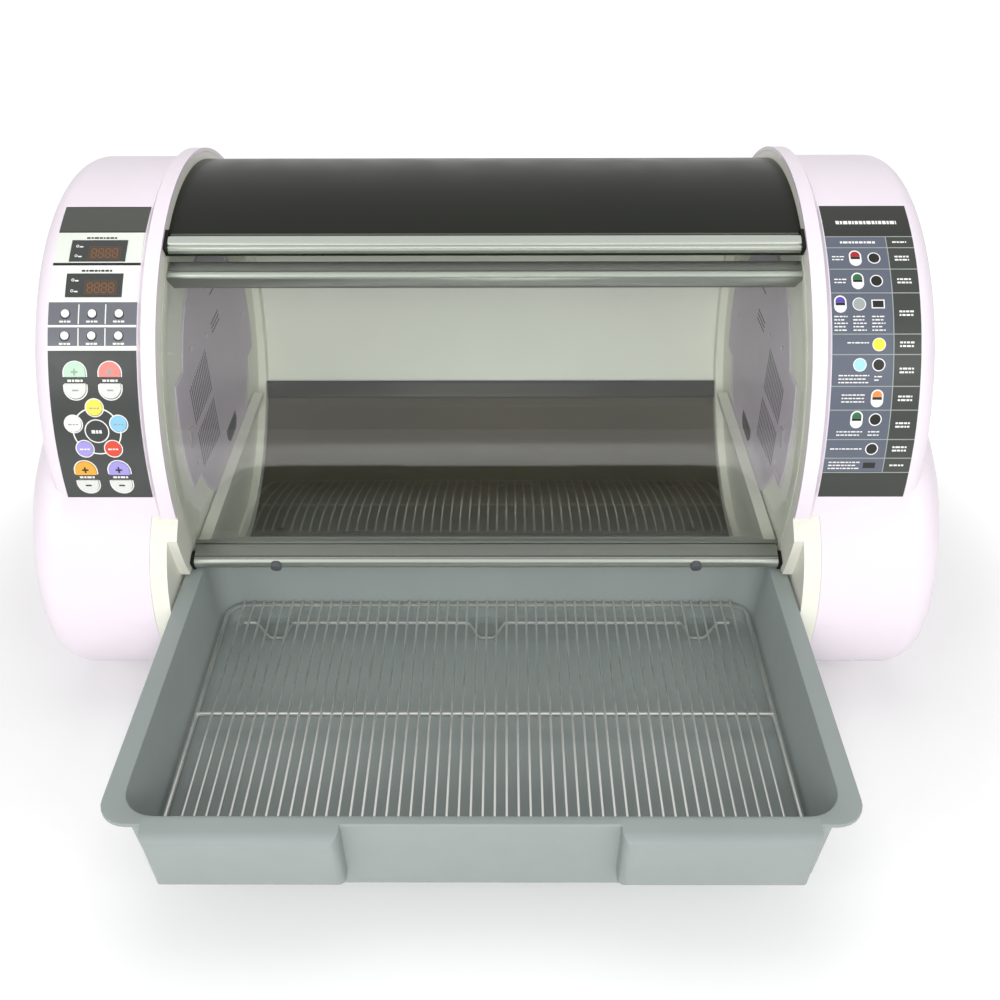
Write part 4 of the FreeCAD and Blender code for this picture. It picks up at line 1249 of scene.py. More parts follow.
    def band(self, name: str, surface: Surface, slot: str,
             edges: tuple[float, float, float, float], replaced: tuple[str, ...] = ()) -> None:
        """A bar that is a plain band about the axis, with rounded edges.

        Args:
            name: name of the piece.
            surface: its finish.
            slot: the record's material slot that it belongs to.
            edges: inner and outer radius, lower and upper angle.
            replaced: CAD nodes that it stands for.
        """
        inner, outer, low, high = edges
        parts = 4
        steps = [low + (high - low) * i / parts for i in range(parts + 1)]
        section = [(outer, turn) for turn in steps] + [(inner, turn) for turn in steps[::-1]]
        Rail(name, surface, slot, self.half, section, replaced=replaced, edge=0.6).build()

    def build(self) -> None:
        """Dress the sheets and make the rails."""
        dress(Surface.COVER, "top_cover")
        dress(Surface.PANEL, "rear_panel")
        dress(Surface.LINER, "bottom_shell")
        dress(Surface.CAP, "hood_rail_end_caps")
        dress(Surface.LENS, "light_bar")
        self.hood_rail()
        self.header_rail()
        self.band("front_sill_bar", Surface.SILL, "satin_aluminium", self.sill, ("front_sill",))
        self.band("rear_rail_bar", Surface.REAR_RAIL, "grey_rail", self.rear, ("rear_rail",))
        self.band("liner_lap", Surface.LINER, "bronze_liner", self.lap)


@dataclass
class Door(Assembly):
    """The clear sliding door and what rides on it.

    Attributes:
        half: half the rail's length, between its end caps.
        low: angle of the rail's lower face.
        high: angle of the rail's upper face.
        inner: radius of the door's face, where the rail starts.
        gasket: inner and outer radius of the black strip let into the rail's upper face.
        lip: outer radius of the bright lip beside it.
        nose: radius where the rounded front begins, and its crest.
        groove: depth, in degrees, of the strip's seat and of the line beside the lip.
        proud: how far, in degrees, the strip stands over the rail.
        play: gap either side of the strip.
        bumper: radius of a bumper, the radii where it starts and ends, and its angle.
        bumper_x: station of the bumpers either side of the middle.
    """

    half: float = 315.8
    low: float = -24.0
    high: float = -20.9
    inner: float = 242.3
    gasket: tuple[float, float] = (256.5, 258.5)
    lip: float = 260.0
    nose: tuple[float, float] = (261.0, 266.0)
    groove: float = 0.3
    proud: float = 0.12
    play: float = 0.1
    bumper: tuple[float, float, float, float] = (6.0, 263.0, 270.0, -22.0)
    bumper_x: float = 227.0

    def bumpers(self) -> None:
        """Two round rubber bumpers on the rail's front, with rounded faces."""
        radius, base, crest, turn = self.bumper
        out = (drum_point(0.0, crest, turn) - drum_point(0.0, base, turn)) / MM
        up = Vector((0.0, -out.z, out.y)).normalized() * radius
        obj = start_piece("door_rubber_bumpers")
        for x in (-self.bumper_x, self.bumper_x):
            centre = drum_point(x, base, turn)
            across = Vector((radius, 0.0, 0.0))
            lay_ring([centre + (across * math.cos(turn) + up * math.sin(turn)) * MM
                      for turn in (math.pi * i / 12 for i in range(24))], True)
            draw_out(tuple(out))
        finish_piece(obj, Surface.RUBBER, "door", ("door_bumpers",), 0.9)

    def rail(self) -> None:
        """Door rail: web, black strip, bright lip, dark line and the round nose."""
        seat, hair = self.high - self.groove, 0.02
        start, stop = self.gasket
        web = [(self.inner, self.high), (start, self.high), (start, self.low),
               (self.inner, self.low)]
        Rail("door_rail_web", Surface.SILL, "satin_aluminium", self.half, web, "door").build()
        grip = [(start + hair, seat), (stop, seat), (stop, self.high), (self.lip, self.high),
                (self.lip, seat), (self.nose[0], seat),
                *swelling((self.nose[0], self.high), (self.nose[0], self.low),
                          self.nose[1] - self.nose[0], 17), (start + hair, self.low)]
        Rail("door_rail_grip", Surface.LIT_ALUMINIUM, "satin_aluminium", self.half, grip, "door",
             ("door_bottom_rail",)).build()
        foot, top = seat + hair / 2, self.high + self.proud
        strip = [(start + self.play, foot), (start + self.play, top), (stop - self.play, top),
                 (stop - self.play, foot)]
        Rail("door_rail_gasket", Surface.RUBBER, "black_rubber", self.half, strip, "door").build()

    def build(self) -> None:
        """Dress the door and make its rail."""
        dress(Surface.ACRYLIC, "door_panel")
        dress(Surface.CAP, "door_end_caps")
        dress(Surface.RUBBER, "door_seal")
        self.rail()
        self.bumpers()


@dataclass
class Tray(Assembly):
    """The pull-out tray, its runners and the wire rack.

    Attributes:
        flange: half width, front, rear, corner and thickness of the flange.
        rim: half width, front, rear and corner of the basin's mouth.
        floor: half width, front, rear and corner of the basin's floor.
        top: level of the flange's upper face.
        deep: level of the basin's floor.
        wall: thickness of the basin's wall.
        forward: how far the basin's outside stands in front at the floor and at the rim.
        foot: height over the floor where the outside's rounded foot ends.
        soft: radius of the flange's edges.
        lip: drop and widening of each ring of the mouth's rounding, from the top down.
        cove: height and inset of each ring of the round between wall and floor.
        grip: inner end, outer end, front, back, depth and lean of a grip.
        grip_proud: height of the grips' upper faces over the flange.
        grip_round: radius of the grips' front corners.
        rack: half width, front, rear and corner of the rack's frame, to the rod's centre.
        rack_top: level of the wires' upper side.
        wire: radius of a wire.
        rod: radius of the frame's rod.
        pitch: distance between wires.
        edge_gap: distance from the frame to the first wire.
        settle: how far the frame's rod is pressed into the wires.
        overhang: how far the outer and the inner wire ends stand over the frame.
        support_rod: radius of a support rod, and its drop under the wires.
        support_inset: distance of the support rods from the frame.
        support_end: how far a support rod goes on past its outer dips.
        dips: stations where the support rods dip to the floor.
        dip: half width of a dip at its top and at its bottom.
        dip_foot: height of the rods' middle over the floor in a dip.
    """

    flange: tuple[float, float, float, float, float] = (326.6, -410.0, -13.0, 27.0, 4.0)
    rim: tuple[float, float, float, float] = (308.0, -400.0, -37.0, 30.0)
    floor: tuple[float, float, float, float] = (301.0, -393.0, -45.0, 26.0)
    top: float = 153.2
    deep: float = 57.0
    wall: float = 3.0
    forward: tuple[float, float] = (4.0, 5.0)
    foot: float = 2.0
    soft: float = 0.8
    lip: tuple[tuple[float, float], ...] = ((0.0, 2.0), (0.7, 0.6), (2.0, 0.0))
    cove: tuple[tuple[float, float], ...] = ((9.0, 0.0), (3.0, 2.4), (0.0, 9.0), (0.0, 10.5))
    grip: tuple[float, float, float, float, float, float] = (119.0, 286.0, -429.0, -403.5, 76.0,
                                                             9.0)
    grip_proud: float = 0.15
    grip_round: float = 12.0
    rack: tuple[float, float, float, float] = (294.9, -387.0, -49.5, 20.0)
    rack_top: float = 86.0
    wire: float = 1.3
    rod: float = 2.5
    pitch: float = 11.1
    edge_gap: float = 17.0
    settle: float = 0.4
    overhang: tuple[float, float] = (3.4, 2.4)
    support_rod: tuple[float, float] = (1.6, 1.2)
    support_inset: float = 32.0
    support_end: float = 34.0
    dips: tuple[float, float, float] = (-238.0, 0.0, 238.0)
    dip: tuple[float, float] = (22.0, 6.0)
    dip_foot: float = 2.5

    def ring(self, box: tuple[float, float, float, float], level: float,
             grow: float = 0.0) -> list[Vector]:
        """Rounded rectangle of half width, front, rear and corner, grown by a margin.

        Args:
            box: half width, front, rear and corner radius.
            level: its height.
            grow: the margin.

        Returns:
            Its corners in metres.
        """
        half, front, rear, corner = box
        half, front, rear, corner = half + grow, front - grow, rear + grow, corner + grow
        points, parts = [], 7
        for side, end, start in ((1, rear, 0), (-1, rear, 90), (-1, front, 180), (1, front, 270)):
            inward = 1 if end == front else -1
            for i in range(parts + 1):
                turn = math.radians(start + 90 * i / parts)
                points.append(Vector((side * (half - corner) + corner * math.cos(turn),
                                      end + inward * corner + corner * math.sin(turn),
                                      level)) * MM)
        return points

    def basin(self) -> None:
        """Basin and flange in one wall, lofted from the underside over the rim to the floor."""
        obj = start_piece("tray_moulding")
        plate, under = self.flange[:4], self.top - self.flange[4]
        outer_floor = (self.floor[0], self.floor[1] - self.forward[0], *self.floor[2:])
        outer_rim = (self.rim[0], self.rim[1] - self.forward[1], *self.rim[2:])
        soft, wall = self.soft, self.wall
        outside = [self.ring(outer_floor, self.deep - wall, -wall),
                   self.ring(outer_floor, self.deep + self.foot, wall),
                   self.ring(outer_rim, under, wall)]
        flange = [self.ring(plate, under, -soft), self.ring(plate, under + soft),
                  self.ring(plate, self.top - soft), self.ring(plate, self.top, -soft)]
        mouth = [self.ring(self.rim, self.top - drop, grow) for drop, grow in self.lip]
        floor = [self.ring(self.floor, self.deep + up, -inset) for up, inset in self.cove]
        loft(outside + flange + mouth + floor)
        finish_piece(obj, Surface.TRAY, "tray", ("tray",))

    def grips(self) -> None:
        """Two hand grips with well-rounded fronts, proud of the tray under its flange."""
        inner, outer, front, back, depth, lean = self.grip
        for side, name in ((-1, "left_tray_grip"), (1, "right_tray_grip")):
            obj = start_piece(name)
            low, high = (inner, outer) if side > 0 else (-outer, -inner)
            top, foot = self.top + self.grip_proud, self.top - depth
            corners = [(back, top), (front, top), (front + lean, foot), (back, foot)]
            lay_ring([Vector((low, y, z)) * MM for y, z in corners], True)
            draw_out((high - low, 0.0, 0.0))
            mesh = bmesh.from_edit_mesh(obj.data)
            behind = (front + lean + 0.5) * MM
            for edge in mesh.edges:
                edge.select = all(vert.co.y < behind for vert in edge.verts)
            bmesh.update_edit_mesh(obj.data)
            bpy.ops.mesh.bevel(offset=self.grip_round * MM, segments=6, affect="EDGES")
            finish_piece(obj, Surface.TRAY, "tray")

    def bent_rod(self, name: str, route: list[Vector], radius: float,
                 closed: bool = False) -> bpy.types.Object:
        """Round rod along a route in metres, left in object mode.

        Args:
            name: name of the piece.
            route: the rod's middle line.
            radius: the rod's radius.
            closed: whether it closes on itself.

        Returns:
            The rod as a mesh.
        """
        deselect()
        bpy.ops.curve.primitive_nurbs_path_add()
        obj = bpy.context.object
        obj.name = name
        line = obj.data
        line.splines.clear()
        spline = line.splines.new("POLY")
        spline.points.add(len(route) - 1)
        for point, spot in zip(spline.points, route):
            point.co = (*spot, 1.0)
        spline.use_cyclic_u = closed
        line.dimensions = "3D"
        line.bevel_depth = radius * MM
        line.bevel_resolution = 2
        line.use_fill_caps = not closed
        bpy.ops.object.convert(target="MESH")
        return bpy.context.object

    def support(self, y: float, level: float) -> list[Vector]:
        """Route of a support rod with soft dips to the tray's floor.

        Args:
            y: its station front to back.
            level: height of its straight runs.

        Returns:
            The rod's middle line in metres.
        """
        wide, narrow = self.dip
        drop = self.deep + self.dip_foot - level
        parts = 8
        route = [Vector((self.dips[0] - self.support_end, y, level)) * MM]
        for x in self.dips:
            for side in (-1, 1):
                ramp = []
                for i in range(parts + 1):
                    share = i / parts
                    ease = share * share * (3.0 - 2.0 * share)
                    reach = wide + (narrow - wide) * share
                    ramp.append(Vector((x + side * reach, y, level + drop * ease)) * MM)
                route += ramp if side < 0 else ramp[::-1]
        route.append(Vector((self.dips[-1] + self.support_end, y, level)) * MM)
        return route

    def frame_rods(self) -> None:
        """Frame rod, cross rod and the two dipped supports, all under the wires."""
        half, front, rear, _ = self.rack
        under = self.rack_top - 2 * self.wire
        level = under - self.rod + self.settle
        radius, drop = self.support_rod
        across = [Vector((x, (front + rear) / 2, level)) * MM for x in (-half, half)]
        rods = [self.bent_rod("rack_frame_rod", self.ring(self.rack, level), self.rod, True),
                self.bent_rod("rack_cross_rod", across, self.rod)]
        for i, y in enumerate((rear - self.support_inset, front + self.support_inset)):
            route = self.support(y, under - drop)
            rods.append(self.bent_rod(f"rack_support_{i + 1}", route, radius))
        for i, rod in enumerate(rods):
            self.weld(rod, ("wire_rack",) if i == 0 else ())

    def wires(self) -> None:
        """Close wires with tapered ends that overhang the frame a little, copied along it."""
        half, front, rear, _ = self.rack
        level = self.rack_top - self.wire
        outer, inner = self.overhang
        taper, taper_from = 0.5, 3.0
        span = 2 * (half - self.edge_gap)
        count = round(span / self.pitch)
        first = [Vector((-span / 2, y, level)) * MM
                 for y in (rear + outer, rear + inner, front - inner, front - outer)]
        wires = self.bent_rod("rack_wires", first, self.wire)
        for vert in wires.data.vertices:
            if not (front - taper_from) * MM < vert.co.y < (rear + taper_from) * MM:
                vert.co.x += (-span / 2 * MM - vert.co.x) * taper
                vert.co.z += (level * MM - vert.co.z) * taper
        apply_modifier(wires, "ARRAY", count=count + 1, use_relative_offset=False,
                       use_constant_offset=True,
                       constant_offset_displace=(span / count * MM, 0.0, 0.0))
        self.weld(wires, ())

    def weld(self, rod: bpy.types.Object, replaced: tuple[str, ...]) -> None:
        """Finish a rod of the rack.

        Args:
            rod: the rod.
            replaced: CAD nodes that it stands for.
        """
        bpy.context.view_layer.objects.active = rod
        rod.select_set(True)
        bpy.ops.object.mode_set(mode="EDIT")
        finish_piece(rod, Surface.STEEL, "tray", replaced)

    def build(self) -> None:
        """Dress the runners and make the tray and its rack."""
        dress(Surface.RUNNER, "tray_runners")
        self.basin()
        self.grips()
        self.frame_rods()
        self.wires()


@dataclass
class Services(Assembly):
    """Fans, heater, boards, humidifier and mains parts."""

    def build(self) -> None:
        """Dress the working parts."""
        dress(Surface.CAP, "left_fan_frame", "right_fan_frame", "left_fan_rotor",
              "right_fan_rotor", "power_inlet", "rocker_bezel", "rocker_switch", "air_sensor")
        dress(Surface.HEATER, "heater")
        dress(Surface.BOARD, "control_board")
        dress(Surface.ZINC, "power_supply", "nebuliser")
        dress(Surface.TANK, "humidifier_tank")


@dataclass
class Controls(Assembly):
    """The printed control overlay with its windows, lamps and keys.

    Attributes:
        centre: X station of the overlay's middle.
        film: radius of the overlay's face.
        pane: radius of the windows' face.
        key_top: radius of the keys' face.
        half: half width of the overlay.
        windows: arc heights of the two windows' middles.
        well: place of a figures' well about its window's middle, its width and its height.
        lamp_rows: arc heights of the two rows of lamps.
        lamp_columns: stations of the lamps about the middle.
        lamp_field: how far the lamps' field reaches under the lower and over the upper row.
        wheel: centre of the five round keys about the middle, and the radius of the line
            that links them.
        round_keys: each round key's place about the middle.
        pairs: each capsule pair's place about the middle.
        plus: the plus sign, from the middle of a capsule pair.
        minus: the minus sign, from the same point.
        unit: the small ring and dash left of a window's figures.
        unit_rows: heights of those in a window, about its middle.
        lifts: height of the ink on the round keys and on the capsule pairs.
    """

    centre: float = -385.0
    film: float = 252.5
    pane: float = 253.1
    key_top: float = 253.5
    half: float = 43.5
    windows: tuple[float, float] = (254.0, 215.5)
    well: tuple[float, float, float, float] = (6.5, -1.0, 33.0, 16.5)
    lamp_rows: tuple[float, float] = (186.5, 164.5)
    lamp_columns: tuple[float, float, float] = (-26.8, -0.3, 26.2)
    lamp_field: tuple[float, float] = (11.0, 10.0)
    wheel: tuple[float, float, float] = (-0.5, 70.4, 24.4)
    round_keys: dict[str, tuple[float, float]] = field(default_factory=lambda: {
        "yellow": (-0.5, 94.3), "white": (-23.0, 77.9), "blue": (22.0, 77.9),
        "violet": (-15.0, 52.0), "red": (13.5, 52.0)})
    pairs: dict[str, tuple[float, float]] = field(default_factory=lambda: {
        "green": (-17.5, 121.0), "rose": (17.0, 121.0), "orange": (-18.5, 20.1),
        "purple": (15.5, 20.1)})
    plus: tuple[Mark, ...] = (Bar(0.0, 9.0, 6.6, 1.7), Bar(0.0, 9.0, 1.7, 6.6))
    minus: tuple[Mark, ...] = (Bar(0.0, -9.0, 6.0, 1.6),)
    unit: tuple[Mark, ...] = (Ring(-21.5, 0.8, 1.5, 0.6, 16), Bar(-17.6, 0.0, 3.6, 1.4))
    unit_rows: tuple[float, float] = (6.0, -5.5)
    lifts: tuple[float, float] = (0.12, 0.32)

    def dress_nodes(self) -> None:
        """Dress the overlay, windows, lamps and keys."""
        dress(Surface.OVERLAY, "control_overlay")
        dress(Surface.WINDOW, "display_windows")
        dress(Surface.LENS, "indicator_lenses")
        for name in self.round_keys:
            dress(Surface[f"KEY_{name.upper()}"], f"key_{name}")
        dress(Surface.KEY_BLACK, "key_set")
        uppers = {"green": Surface.KEY_GREEN, "rose": Surface.KEY_ROSE,
                  "orange": Surface.KEY_ORANGE, "purple": Surface.KEY_VIOLET}
        for name, surface in uppers.items():
            dress(surface, f"key_{name}_plus")
            dress(Surface.KEY_GREY, f"key_{name}_minus")

    def caption(self, x: float, up: float, half: float, height: float) -> list[Bar]:
        """Dashes centred under or between keys and lamps."""
        return words(self.centre + x - half, self.centre + x + half, up, height)

    def white_marks(self) -> list[Mark]:
        """White lines and dashes on the overlay.

        Returns:
            The marks.
        """
        marks: list[Mark] = []
        low, high = self.lamp_rows[1] - self.lamp_field[0], self.lamp_rows[0] + self.lamp_field[1]
        middle = (self.lamp_rows[0] + self.lamp_rows[1]) / 2
        line, break_low, break_high = 1.1, 3.0, 1.0
        for left, right in zip(self.lamp_columns, self.lamp_columns[1:]):
            for start, stop in ((low, middle - break_low), (middle + break_high, high)):
                marks.append(Bar(self.centre + (left + right) / 2, (start + stop) / 2, line,
                                 stop - start))
        marks.append(Bar(self.centre, middle - 1.0, 2 * self.half, 2 * line))
        for row in self.lamp_rows:
            for x in self.lamp_columns:
                marks += self.caption(x, row - 7.4, 5.5, 1.8)
        x, up, radius = self.wheel
        marks.append(Ring(self.centre + x, up, radius, 1.3, 72))
        marks.append(Ring(self.centre + x, up, 12.3, 1.2))
        for x, up in self.round_keys.values():
            marks.append(Ring(self.centre + x, up, 9.5, line))
        for x, up in self.pairs.values():
            marks.append(Pill(self.centre + x, up, 24.2, 39.2, 1.2))
            marks += self.caption(x, up, 7.5, 2.2)
        return marks

    def black_marks(self) -> list[Mark]:
        """Black dashes over the windows, and dark rings round the lamps.

        Returns:
            The marks.
        """
        marks: list[Mark] = []
        for window in self.windows:
            marks += words(self.centre - 14.0, self.centre + 18.0, window + 16.6, 2.0)
        for row in self.lamp_rows:
            for x in self.lamp_columns:
                marks.append(Ring(self.centre + x, row, 5.0, 0.9))
        return marks

    def digits(self, window: float) -> list[Mark]:
        """Seven-stroke figures of one window, all strokes faint as when it is switched off.

        Args:
            window: arc height of the window's middle.

        Returns:
            The strokes.
        """
        marks: list[Mark] = []
        tall, wide, stroke, pitch, gap = 10.0, 4.6, 1.0, 7.0, 1.4
        middle = window - 1.5
        for i in range(4):
            x = self.centre + self.well[0] + (i - 1.5) * pitch
            for level in (-1, 0, 1):
                marks.append(Bar(x, middle + level * tall / 2, wide - gap, stroke))
            for side in (-1, 1):
                for level in (-1, 1):
                    marks.append(Bar(x + side * wide / 2, middle + level * tall / 4, stroke,
                                     tall / 2 - gap))
        return marks

    def key_marks(self, key: str, x: float, up: float, ink: Surface,
                  marks: list[Bar] | tuple[Mark, ...], lift: float) -> None:
        """Print the marks of one key, which move with it.

        Args:
            key: the key's body.
            x: its station about the middle.
            up: its arc height.
            ink: finish of the ink.
            marks: marks about the key's middle.
            lift: height of the ink.
        """
        placed = [mark.moved(self.centre + x, up) for mark in marks]
        DrumPrint(f"{key}_mark", ink, "printed_overlay", self.key_top, key, placed, lift).build()

    def build(self) -> None:
        """Dress the panel and print its marks."""
        self.dress_nodes()
        sheet = ("printed_overlay", self.film, "cabinet")
        DrumPrint("control_white_print", Surface.INK_WHITE, *sheet, self.white_marks()).build()
        DrumPrint("control_black_print", Surface.INK_BLACK, *sheet, self.black_marks()).build()
        glass = ("smoked_window", self.pane, "cabinet")
        x, up, wide, high = self.well
        wells = [Bar(self.centre + x, window + up, wide, high) for window in self.windows]
        DrumPrint("display_wells", Surface.INK_UMBER, *glass, wells, 0.06).build()
        figures = [mark for window in self.windows for mark in self.digits(window)]
        DrumPrint("display_figures", Surface.INK_AMBER, *glass, figures, 0.12).build()
        units = [mark.moved(self.centre, window + up) for window in self.windows
                 for up in self.unit_rows for mark in self.unit]
        DrumPrint("display_unit_marks", Surface.INK_WHITE, *glass, units).build()
        flat, crowned = self.lifts
        for name, (x, up) in self.round_keys.items():
            ink = Surface.INK_WHITE if name in ("violet", "red") else Surface.INK_GREY
            self.key_marks(f"key_{name}", x, up, ink, words(-5.0, 5.0, 0.0, 1.4), flat)
        x, up, _ = self.wheel
        self.key_marks("key_set", x, up, Surface.INK_WHITE, words(-5.0, 5.0, 0.0, 3.4), flat)
        for name, (x, up) in self.pairs.items():
            ink = Surface.INK_BLACK if name in ("orange", "purple") else Surface.INK_GREY
            self.key_marks(f"key_{name}_plus", x, up, ink, self.plus, crowned)
            self.key_marks(f"key_{name}_minus", x, up, ink, self.minus, crowned)


class Picture(Enum):
    """Small pictures on the label: marks about their middle, each with an ink or the row's own."""

    KEY = ((Surface.INK_WHITE, Ring(0.0, 0.0, 6.4, 1.0)), (Surface.INK_BLACK, Dot(0.0, 0.0, 5.3)),
           (Surface.INK_GREY, Bar(0.0, 0.0, 5.6, 1.5)))
    PAIR = ((Surface.INK_WHITE, Pill(0.0, 0.0, 12.2, 17.6, 1.0)),
            (Surface.KEY_WHITE, Pill(0.0, 0.0, 10.2, 15.6)),
            (None, Pill(0.0, 0.0, 9.4, 14.8, keep_above=1.4)),
            (Surface.INK_BLACK, Bar(0.0, 0.0, 9.2, 2.6)))
    SPOT = ((Surface.INK_WHITE, Ring(0.0, 0.0, 6.6, 0.9)), (None, Dot(0.0, 0.0, 5.8)))
    SCREEN = ((Surface.INK_WHITE, Bar(0.0, 0.0, 13.0, 9.0)),
              (Surface.INK_BLACK, Bar(0.0, 0.0, 10.6, 6.8)))
    SLOT = ((Surface.INK_BLACK, Bar(0.0, 0.0, 12.0, 6.0)),)


@dataclass(frozen=True)
class LabelRow:
    """A row of the label: its pictures and the paragraphs beside them.

    Attributes:
        up: arc height of the pictures.
        pictures: each picture and its own ink, from the outer column inwards.
        paragraphs: inner end, outer end, top line, number of lines and first word of each.
    """

    up: float
    pictures: tuple[tuple[Picture, Surface | None], ...]
    paragraphs: tuple[tuple[float, float, float, int, int], ...]


LABEL_ROWS = (
    LabelRow(245.0, ((Picture.KEY, None), (Picture.PAIR, Surface.INK_RED)),
             ((345.5, 358.5, 246.6, 2, 0),)),
    LabelRow(219.8, ((Picture.KEY, None), (Picture.PAIR, Surface.INK_GREEN)),
             ((345.5, 358.5, 221.4, 2, 0),)),
    LabelRow(195.6, ((Picture.SCREEN, None), (Picture.SPOT, Surface.INK_GREY),
                     (Picture.PAIR, Surface.INK_VIOLET)),
             ((380.5, 393.5, 183.0, 5, 0), (362.0, 375.0, 183.0, 5, 1),
              (343.5, 356.5, 183.0, 5, 2))),
    LabelRow(155.3, ((Picture.SPOT, Surface.INK_YELLOW),), ((356.0, 377.0, 157.0, 1, 0),)),
    LabelRow(135.5, ((Picture.KEY, None), (Picture.SPOT, Surface.INK_BLUE)),
             ((348.0, 378.0, 125.0, 3, 2), (383.0, 391.0, 124.0, 2, 1))),
    LabelRow(102.6, ((Picture.PAIR, Surface.INK_ORANGE),), ((352.0, 376.0, 106.0, 3, 3),)),
    LabelRow(81.5, ((Picture.KEY, None), (Picture.PAIR, Surface.INK_GREEN)),
             ((350.0, 376.0, 69.0, 2, 4), (381.0, 394.0, 69.0, 2, 1))),
    LabelRow(51.0, ((Picture.KEY, None),), ((345.5, 377.0, 51.0, 1, 2),)),
    LabelRow(33.0, ((Picture.SLOT, None),), ((346.0, 377.0, 36.4, 3, 5),)),
)


@dataclass
class InstructionLabel(Assembly):
    """The printed instruction label: ruled rows with small key pictures and plain dashes.

    Attributes:
        left: X station of its inner edge.
        right: X station of its outer edge.
        split: X station of the line between its two columns.
        face: radius of its face.
        rules: arc heights of its ruled lines, from the top down.
        rule: width of a ruled line.
        titles: how far in each of the two titles starts and ends, from the label's inner edge
            and its outer edge or column line, its arc height and the height of its dashes.
        remarks: how far in the dashes of the outer column start and end, and their height.
        two_lines_from: height of a row that holds two lines of them.
        column: X station of the outer column of pictures.
        step: distance between the columns of pictures.
        line: distance between a paragraph's lines, and the height of its dashes.
        ragged: how much shorter every second line is.
    """

    left: float = 341.5
    right: float = 428.5
    split: float = 401.5
    face: float = 252.1
    rules: tuple[float, ...] = (270.5, 257.0, 232.5, 207.0, 165.5, 145.5, 114.5, 91.0, 61.0, 41.0,
                                25.0)
    rule: float = 0.9
    titles: tuple[tuple[float, float, float, float], ...] = ((13.0, 13.0, 289.0, 4.4),
                                                            (14.0, 10.0, 263.5, 2.4))
    remarks: tuple[float, float, float] = (6.0, 7.0, 1.8)
    two_lines_from: float = 18.0
    column: float = 387.0
    step: float = 18.5
    line: tuple[float, float] = (3.4, 1.2)
    ragged: float = 2.0
    inks: dict[Surface, list[Mark]] = field(default_factory=dict)

    def put(self, ink: Surface, *marks: Mark) -> None:
        """Keep marks for one ink."""
        self.inks.setdefault(ink, []).extend(marks)

    def draw_table(self) -> None:
        """Rule the table and print its titles and its outer column."""
        top, bottom = self.rules[0], self.rules[-1]
        middle, wide = (self.left + self.right) / 2, self.right - self.left
        self.put(Surface.INK_GREY, *[Bar(middle, up, wide, self.rule) for up in self.rules])
        self.put(Surface.INK_GREY, Bar(self.split, (top + bottom) / 2, self.rule, top - bottom))
        for i, (start, stop, up, height) in enumerate(self.titles):
            end = (self.right, self.split)[i] - stop
            self.put(Surface.INK_WHITE, *words(self.left + start, end, up, height, i))
        start, stop, height = self.remarks
        for high, low in zip(self.rules, self.rules[1:]):
            lines = (height, -height) if high - low > self.two_lines_from else (0.0,)
            for i, shift in enumerate(lines):
                self.put(Surface.INK_WHITE, *words(self.split + start, self.right - stop,
                                                   (high + low) / 2 + shift, height, i + int(high)))

    def draw_rows(self) -> None:
        """Print the pictures and paragraphs of every row."""
        pitch, height = self.line
        for row in LABEL_ROWS:
            for i, (picture, own) in enumerate(row.pictures):
                for ink, mark in picture.value:
                    self.put(ink or own, mark.moved(self.column - i * self.step, row.up))
            for start, stop, top, lines, word in row.paragraphs:
                for i in range(lines):
                    self.put(Surface.INK_WHITE, *words(start, stop - (i % 2) * self.ragged,
                                                       top - i * pitch, height, word + i))

    def build(self) -> None:
        """Dress the label and print its marks, ink by ink."""
        dress(Surface.LABEL, "instruction_label")
        self.draw_table()
        self.draw_rows()
        lifts = {Surface.KEY_WHITE: 0.12, Surface.INK_WHITE: 0.16, Surface.INK_BLACK: 0.22}
        for ink, marks in self.inks.items():
            DrumPrint(f"label_{ink.value.name}", ink, "printed_label", self.face, "cabinet", marks,
                      lifts.get(ink, 0.19)).build()


@dataclass(frozen=True)
class Viewpoint:
    """The camera, at the photograph's angle.

    Attributes:
        focal: focal length.
        sensor: width of the sensor.
        place: camera position in metres.
        pitch: downward tilt in radians.
        yaw: turn towards +X in radians.
        roll: turn about the line of sight in radians.
    """

    focal: float = 39.14
    sensor: float = 36.0
    place: tuple[float, float, float] = (0.0210, -0.9902, 0.9081)
    pitch: float = 0.625
    yaw: float = -0.006
    roll: float = -0.004

    def build(self) -> None:
        """Make the camera and give it to the scene."""
        ahead = Vector((math.sin(self.yaw) * math.cos(self.pitch),
                        math.cos(self.yaw) * math.cos(self.pitch), -math.sin(self.pitch)))
        right = Vector((math.cos(self.yaw), -math.sin(self.yaw), 0.0))
        upward = right.cross(ahead)
        across = right * math.cos(self.roll) + upward * math.sin(self.roll)
        top = upward * math.cos(self.roll) - right * math.sin(self.roll)
        data = bpy.data.cameras.new("camera")
        data.lens = self.focal
        data.sensor_width = self.sensor
        camera = bpy.data.objects.new("camera", data)
        bpy.context.scene.collection.objects.link(camera)
        turned = Matrix((across, top, -ahead)).transposed().to_4x4()
        camera.matrix_world = Matrix.Translation(self.place) @ turned
        bpy.context.scene.camera = camera


